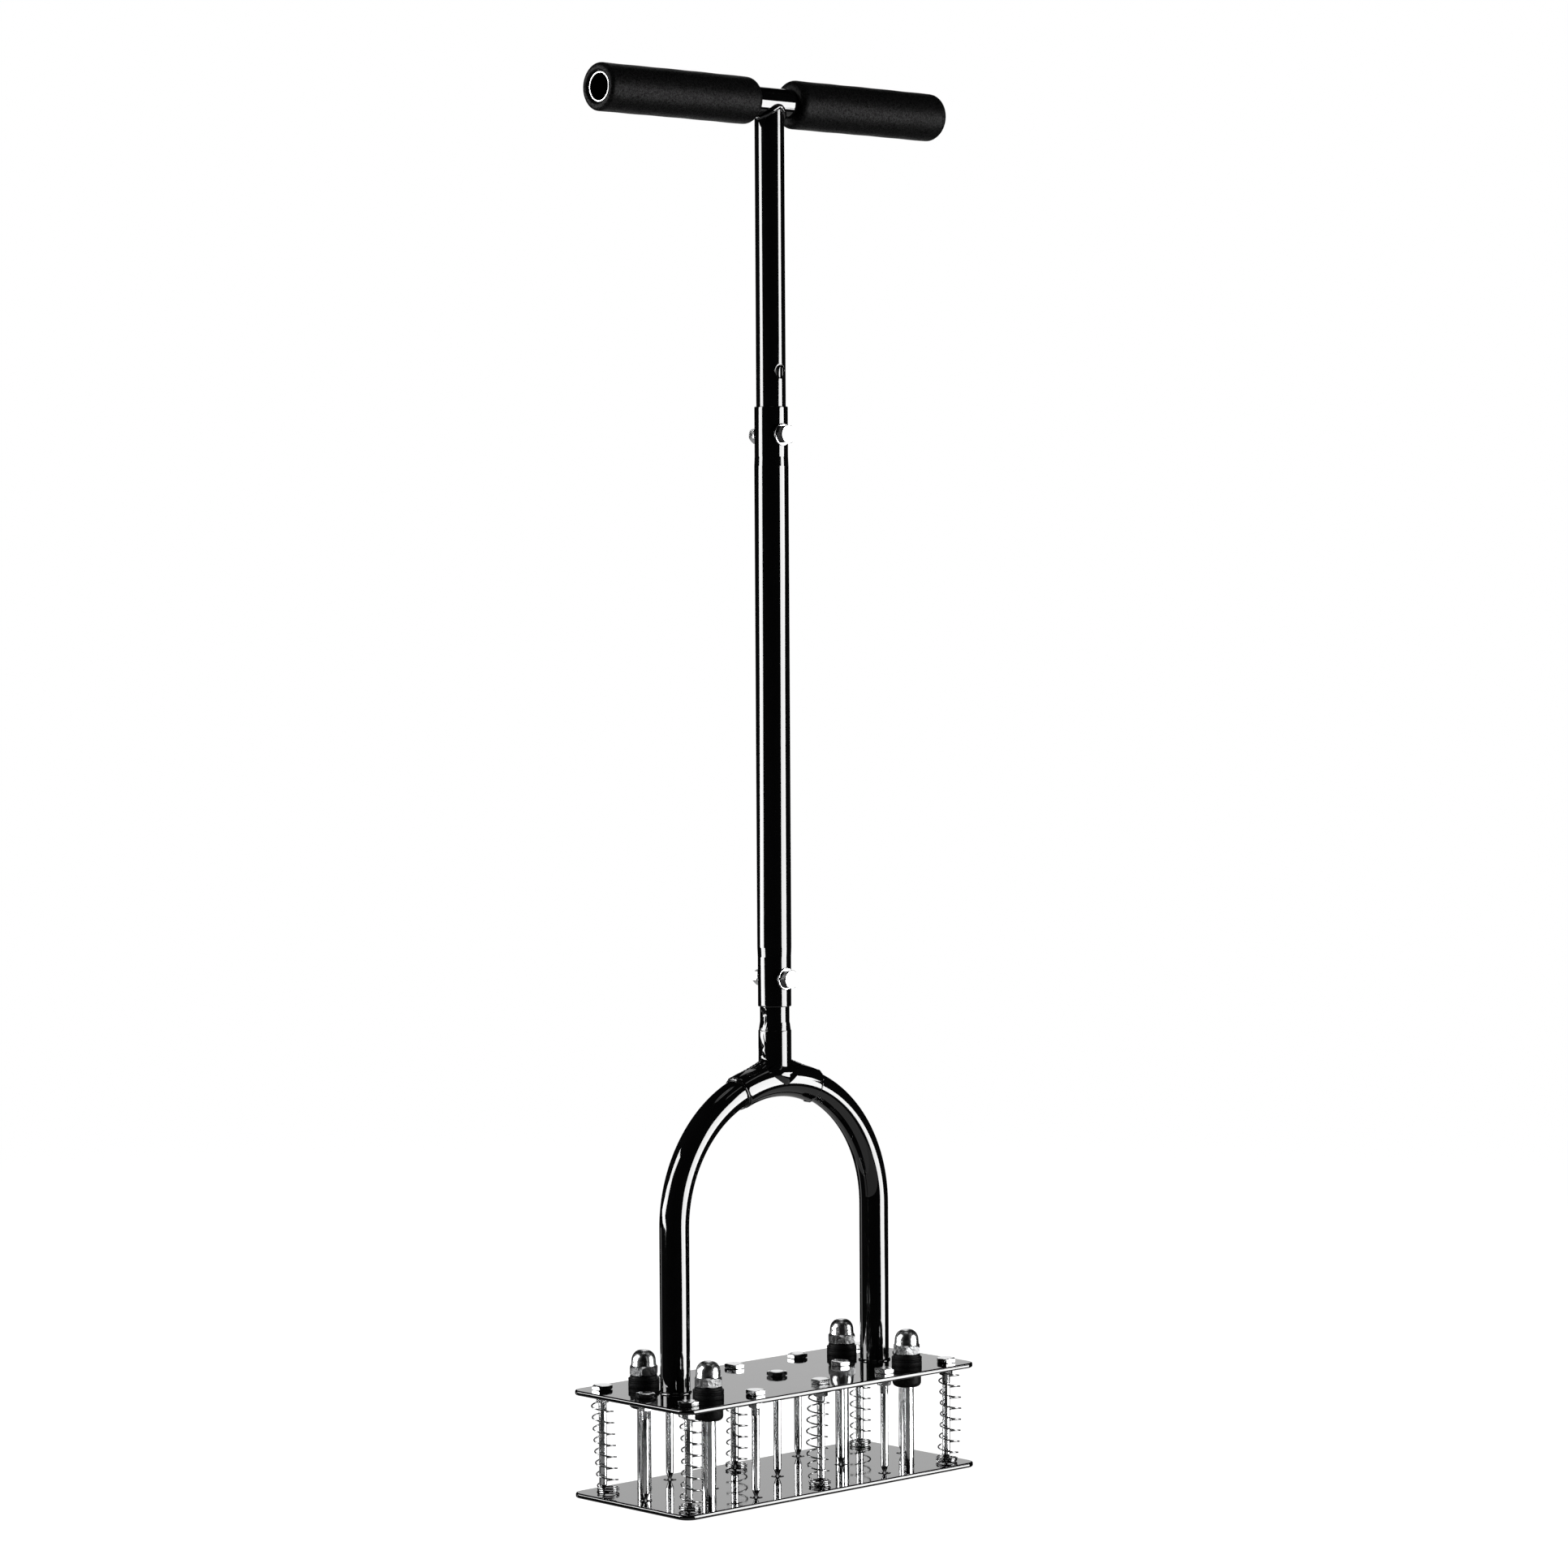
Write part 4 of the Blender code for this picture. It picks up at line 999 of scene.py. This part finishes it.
def joints(bright, shade_painted_metal):
    """Flanged hex-headed bolts through the pole, on its front, and their nuts at the back."""
    face = POLE_END_RADIUS - 0.0002
    head = JOINT_FLANGE_TOP
    for name in ("lower", "upper"):
        node = "joint_bolt_" + name
        low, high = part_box(node)
        z = (low.z + high.z) / 2
        tip = -low.y - 0.0014
        outward = Matrix.Translation((0, 0, z)) @ Matrix.Rotation(math.pi / 2, 4, "X")
        flange = [(0.0, 0.0), (0.0030, 0.0), (0.0030, face), (0.0067, face)]
        flange += [(0.0070, face + 0.0003), (0.0071, head - 0.0005), (0.0069, head - 0.0001)]
        flange.append((0.0066, head))
        turn = math.radians(30)
        sides = hexagon(JOINT_HEAD_FLATS, head, tip, turn, lower=0.0, upper=0.9, face=0.97)
        rings = circles(flange) + sides + circles([(0.0046, tip), (0.0, tip)])
        work = skinned([[outward @ p for p in ring] for ring in rings])
        obj = piece(node + "_piece", work, bright, nodes=[node], sharp=25)
        # The head's hex sides take the dark metal, whose colour is painted shade
        repainted(obj, shade_painted_metal, lambda f: abs(f.normal.y) < 0.3 and f.center.y < -head)

        node = "joint_nut_" + name
        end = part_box(node)[1].y
        edge = end - 0.0012
        inward = Matrix.Translation((0, 0, z)) @ Matrix.Rotation(-math.pi / 2, 4, "X")
        washer = [(0.0, face), (0.0051, face), (0.0053, face + 0.0004), (0.0053, face + 0.0012)]
        stud = [(0.0034, edge), (0.0030, end - 0.0004), (0.0024, end), (0.0, end)]
        nut = hexagon(JOINT_NUT_FLATS, face + 0.0014, edge, 0.2, lower=0.0, upper=0.7, face=0.94)
        rings = circles(washer) + nut + circles(stud)
        work = skinned([[inward @ p for p in ring] for ring in rings])
        piece(node + "_piece", work, bright, nodes=[node], sharp=25)


def camera():
    right, up = Vector(CAMERA_RIGHT), Vector(CAMERA_UP)
    back = right.cross(up).normalized()
    up = back.cross(right).normalized()
    matrix = Matrix((right.normalized(), up, back)).transposed().to_4x4()
    matrix.translation = Vector(CAMERA_PLACE)
    data = bpy.data.cameras.new("camera")
    data.lens = CAMERA_LENS
    data.sensor_width = CAMERA_SENSOR
    data.clip_end = 100
    obj = bpy.data.objects.new("camera", data)
    bpy.context.scene.collection.objects.link(obj)
    obj.matrix_world = matrix
    bpy.context.scene.camera = obj


def direction(degrees):
    """Unit vector on the ground at this angle to the camera's right, seen from the tool."""
    angle = math.atan2(CAMERA_PLACE[1], CAMERA_PLACE[0]) + math.radians(degrees)
    return Vector((math.cos(angle), math.sin(angle), 0))


def sheet(name, points, faces, material, seen=False):
    """A mesh of the studio, which the camera sees only where seen is set."""
    mesh = bpy.data.meshes.new(name)
    mesh.from_pydata(points, [], faces)
    mesh.materials.append(material)
    obj = bpy.data.objects.new(name, mesh)
    bpy.context.scene.collection.objects.link(obj)
    obj.visible_camera = seen
    return obj


def square(name, half, z, material, seen=False):
    corners = [(-half, -half, z), (half, -half, z), (half, half, z), (-half, half, z)]
    return sheet(name, corners, [(0, 1, 2, 3)], material, seen)


def card(name, outline, distance, material):
    """A curved upright card round the tool; each row of its outline is (height, start, end)."""
    steps = 24
    points = []
    for height, start, end in outline:
        for i in range(steps + 1):
            along = direction(start + (end - start) * i / steps) * distance
            points.append(along + Vector((0, 0, height)))
    faces = []
    for row in range(len(outline) - 1):
        first = row * (steps + 1)
        faces += [(j, j + 1, j + steps + 2, j + steps + 1) for j in range(first, first + steps)]
    return sheet(name, points, faces, material)


def glossy_only(obj):
    obj.visible_diffuse = False
    obj.visible_shadow = False
    obj.visible_transmission = False


def plain(name, colour, strength=0.0, diffuse_strength=None):
    """A matt card. A strength makes it a lamp, with another strength for what is no reflection."""
    made = bpy.data.materials.new(name)
    made.use_nodes = True
    nodes = made.node_tree.nodes
    shader = nodes["Principled BSDF"]
    shader.inputs["Base Color"].default_value = (*colour, 1)
    shader.inputs["Roughness"].default_value = 1.0
    shader.inputs["Specular IOR Level"].default_value = 0.0
    if strength:
        emission = nodes.new("ShaderNodeEmission")
        emission.inputs["Strength"].default_value = strength
        if diffuse_strength is not None:
            path = nodes.new("ShaderNodeLightPath")
            level = nodes.new("ShaderNodeMapRange")
            level.inputs["To Min"].default_value = diffuse_strength
            level.inputs["To Max"].default_value = strength
            made.node_tree.links.new(path.outputs["Is Glossy Ray"], level.inputs["Value"])
            made.node_tree.links.new(level.outputs[0], emission.inputs["Strength"])
        made.node_tree.links.new(emission.outputs[0], nodes["Material Output"].inputs[0])
    return made


def floor():
    """A pale floor that keeps the tool's shadow and lets reflections pass to the cards."""
    graph = Graph("pale_floor")
    tree = graph.tree
    length = graph.add("ShaderNodeVectorMath", {0: graph.place}, operation="LENGTH")
    path = graph.add("ShaderNodeLightPath").outputs
    diffuse = graph.add("ShaderNodeBsdfDiffuse", {"Color": (0.25, 0.25, 0.25, 1)})
    bright = graph.add("ShaderNodeBsdfDiffuse", {"Color": (0.6, 0.6, 0.6, 1)})
    glow = graph.add("ShaderNodeEmission", {"Strength": FLOOR_GLOW})
    white = graph.add("ShaderNodeEmission", {"Strength": 1.0})
    clear = graph.add("ShaderNodeBsdfTransparent")
    far = graph.spread(length.outputs["Value"], 0, 1, start=0.6, end=2.0)

    def mix(factor, first, second):
        node = graph.add("ShaderNodeMixShader", {0: factor})
        tree.links.new(first.outputs[0], node.inputs[1])
        tree.links.new(second.outputs[0], node.inputs[2])
        return node

    near = graph.add("ShaderNodeAddShader")
    tree.links.new(bright.outputs[0], near.inputs[0])
    tree.links.new(glow.outputs[0], near.inputs[1])
    seen = mix(far, near, white)
    ground = mix(path["Is Camera Ray"], diffuse, seen)
    whole = mix(path["Is Glossy Ray"], ground, clear)
    tree.links.new(whole.outputs[0], tree.nodes["Material Output"].inputs[0])
    square("floor", FLOOR_HALF, FLOOR_HEIGHT, graph.material, seen=True)


def world():
    made = bpy.data.worlds.new("studio")
    bpy.context.scene.world = made
    made.use_nodes = True
    tree = made.node_tree
    nodes, links = tree.nodes, tree.links
    soft = nodes["Background"]
    soft.inputs["Color"].default_value = (1, 1, 1, 1)
    soft.inputs["Strength"].default_value = WORLD_SOFT
    white = nodes.new("ShaderNodeBackground")
    white.inputs["Color"].default_value = (1, 1, 1, 1)
    white.inputs["Strength"].default_value = 1.0
    path = nodes.new("ShaderNodeLightPath")
    total = path.outputs["Is Camera Ray"]
    for name in ("Is Glossy Ray", "Is Transmission Ray"):
        add = nodes.new("ShaderNodeMath")
        add.operation = "MAXIMUM"
        links.new(total, add.inputs[0])
        links.new(path.outputs[name], add.inputs[1])
        total = add.outputs[0]
    mix = nodes.new("ShaderNodeMixShader")
    links.new(total, mix.inputs[0])
    links.new(soft.outputs[0], mix.inputs[1])
    links.new(white.outputs[0], mix.inputs[2])
    links.new(mix.outputs[0], nodes["World Output"].inputs[0])


def studio():
    floor()
    world()
    black = plain("black_card", (0.0, 0.0, 0.0))
    lamp = plain("strip_lamp", (1, 1, 1), LAMP_STRENGTH, LAMP_DIFFUSE_STRENGTH)
    card("right_lamp", RIGHT_LAMP, LAMP_DISTANCE, lamp)
    card("left_lamp", LEFT_LAMP, LAMP_DISTANCE, lamp)
    grey = plain("grey_card", (0.2, 0.2, 0.2), strength=0.3)
    glossy_only(card("front_low_card", LOW_CARD, WALL_DISTANCE - 0.1, grey))
    for name, start, end, low, high in WALLS:
        card(name, ((low, start, end), (high, start, end)), WALL_DISTANCE, black)
    count = 36
    points = []
    for reach in (CEILING_OPENING, CEILING_REACH):
        points += [direction(10 * i) * reach + Vector((0, 0, CEILING)) for i in range(count)]
    pairs = [(i, (i + 1) % count) for i in range(count)]
    sheet("ceiling", points, [(i, j, count + j, count + i) for i, j in pairs], black)
    dim = plain("under_grey", (0.2, 0.2, 0.2), strength=0.4)
    glossy_only(square("under_card", UNDER_CARD_HALF, STUDIO_LOW, dim))


def main():
    scene = bpy.context.scene
    scene.view_settings.view_transform = "Standard"
    camera()
    studio()
    tube_black = enamel("tube_enamel")
    run_black = enamel("run_enamel", runs=0.0005)
    plate_black = enamel("plate_enamel", peel=0.000002, waviness=0.00003)
    bright = plated("plated_shank", rough=(0.1, 0.26))
    even = (1, 1, 1)
    nut_metal = plated("plated_nut", even, grain=0.00001, dents=0.00003, rough=(0.14, 0.3))
    dome_metal = plated("plated_dome", even, grain=0.00001, dents=0.00003, rough=(0.2, 0.32))
    # Very dark plated steel for the hex sides of the cap nuts and joint bolts: its low tone is
    # painted shade, standing in for the dark reflections on those flats
    shade_painted_metal = plated("plated_flat_painted_shade", even, 0.00003, dents=0.0003, tone=0.16, rough=(0.22, 0.45))
    wire = plated("plated_wire", even, grain=0.000004, tone=0.38)
    black_rubber = rubber()
    plates(plate_black, nut_metal)
    for node in sorted(nodes_of("spike_")):
        spike(node, bright)
    for node in sorted(nodes_of("spring_")):
        spring(node, wire)
    for corner in ("front_left", "front_right", "back_left", "back_right"):
        guide(corner, bright, dome_metal, shade_painted_metal, black_rubber)
    fork(tube_black)
    crown(run_black)
    pole(tube_black, run_black)
    joints(nut_metal, shade_painted_metal)
    handle(tube_black, foam(), bare_steel())


main()
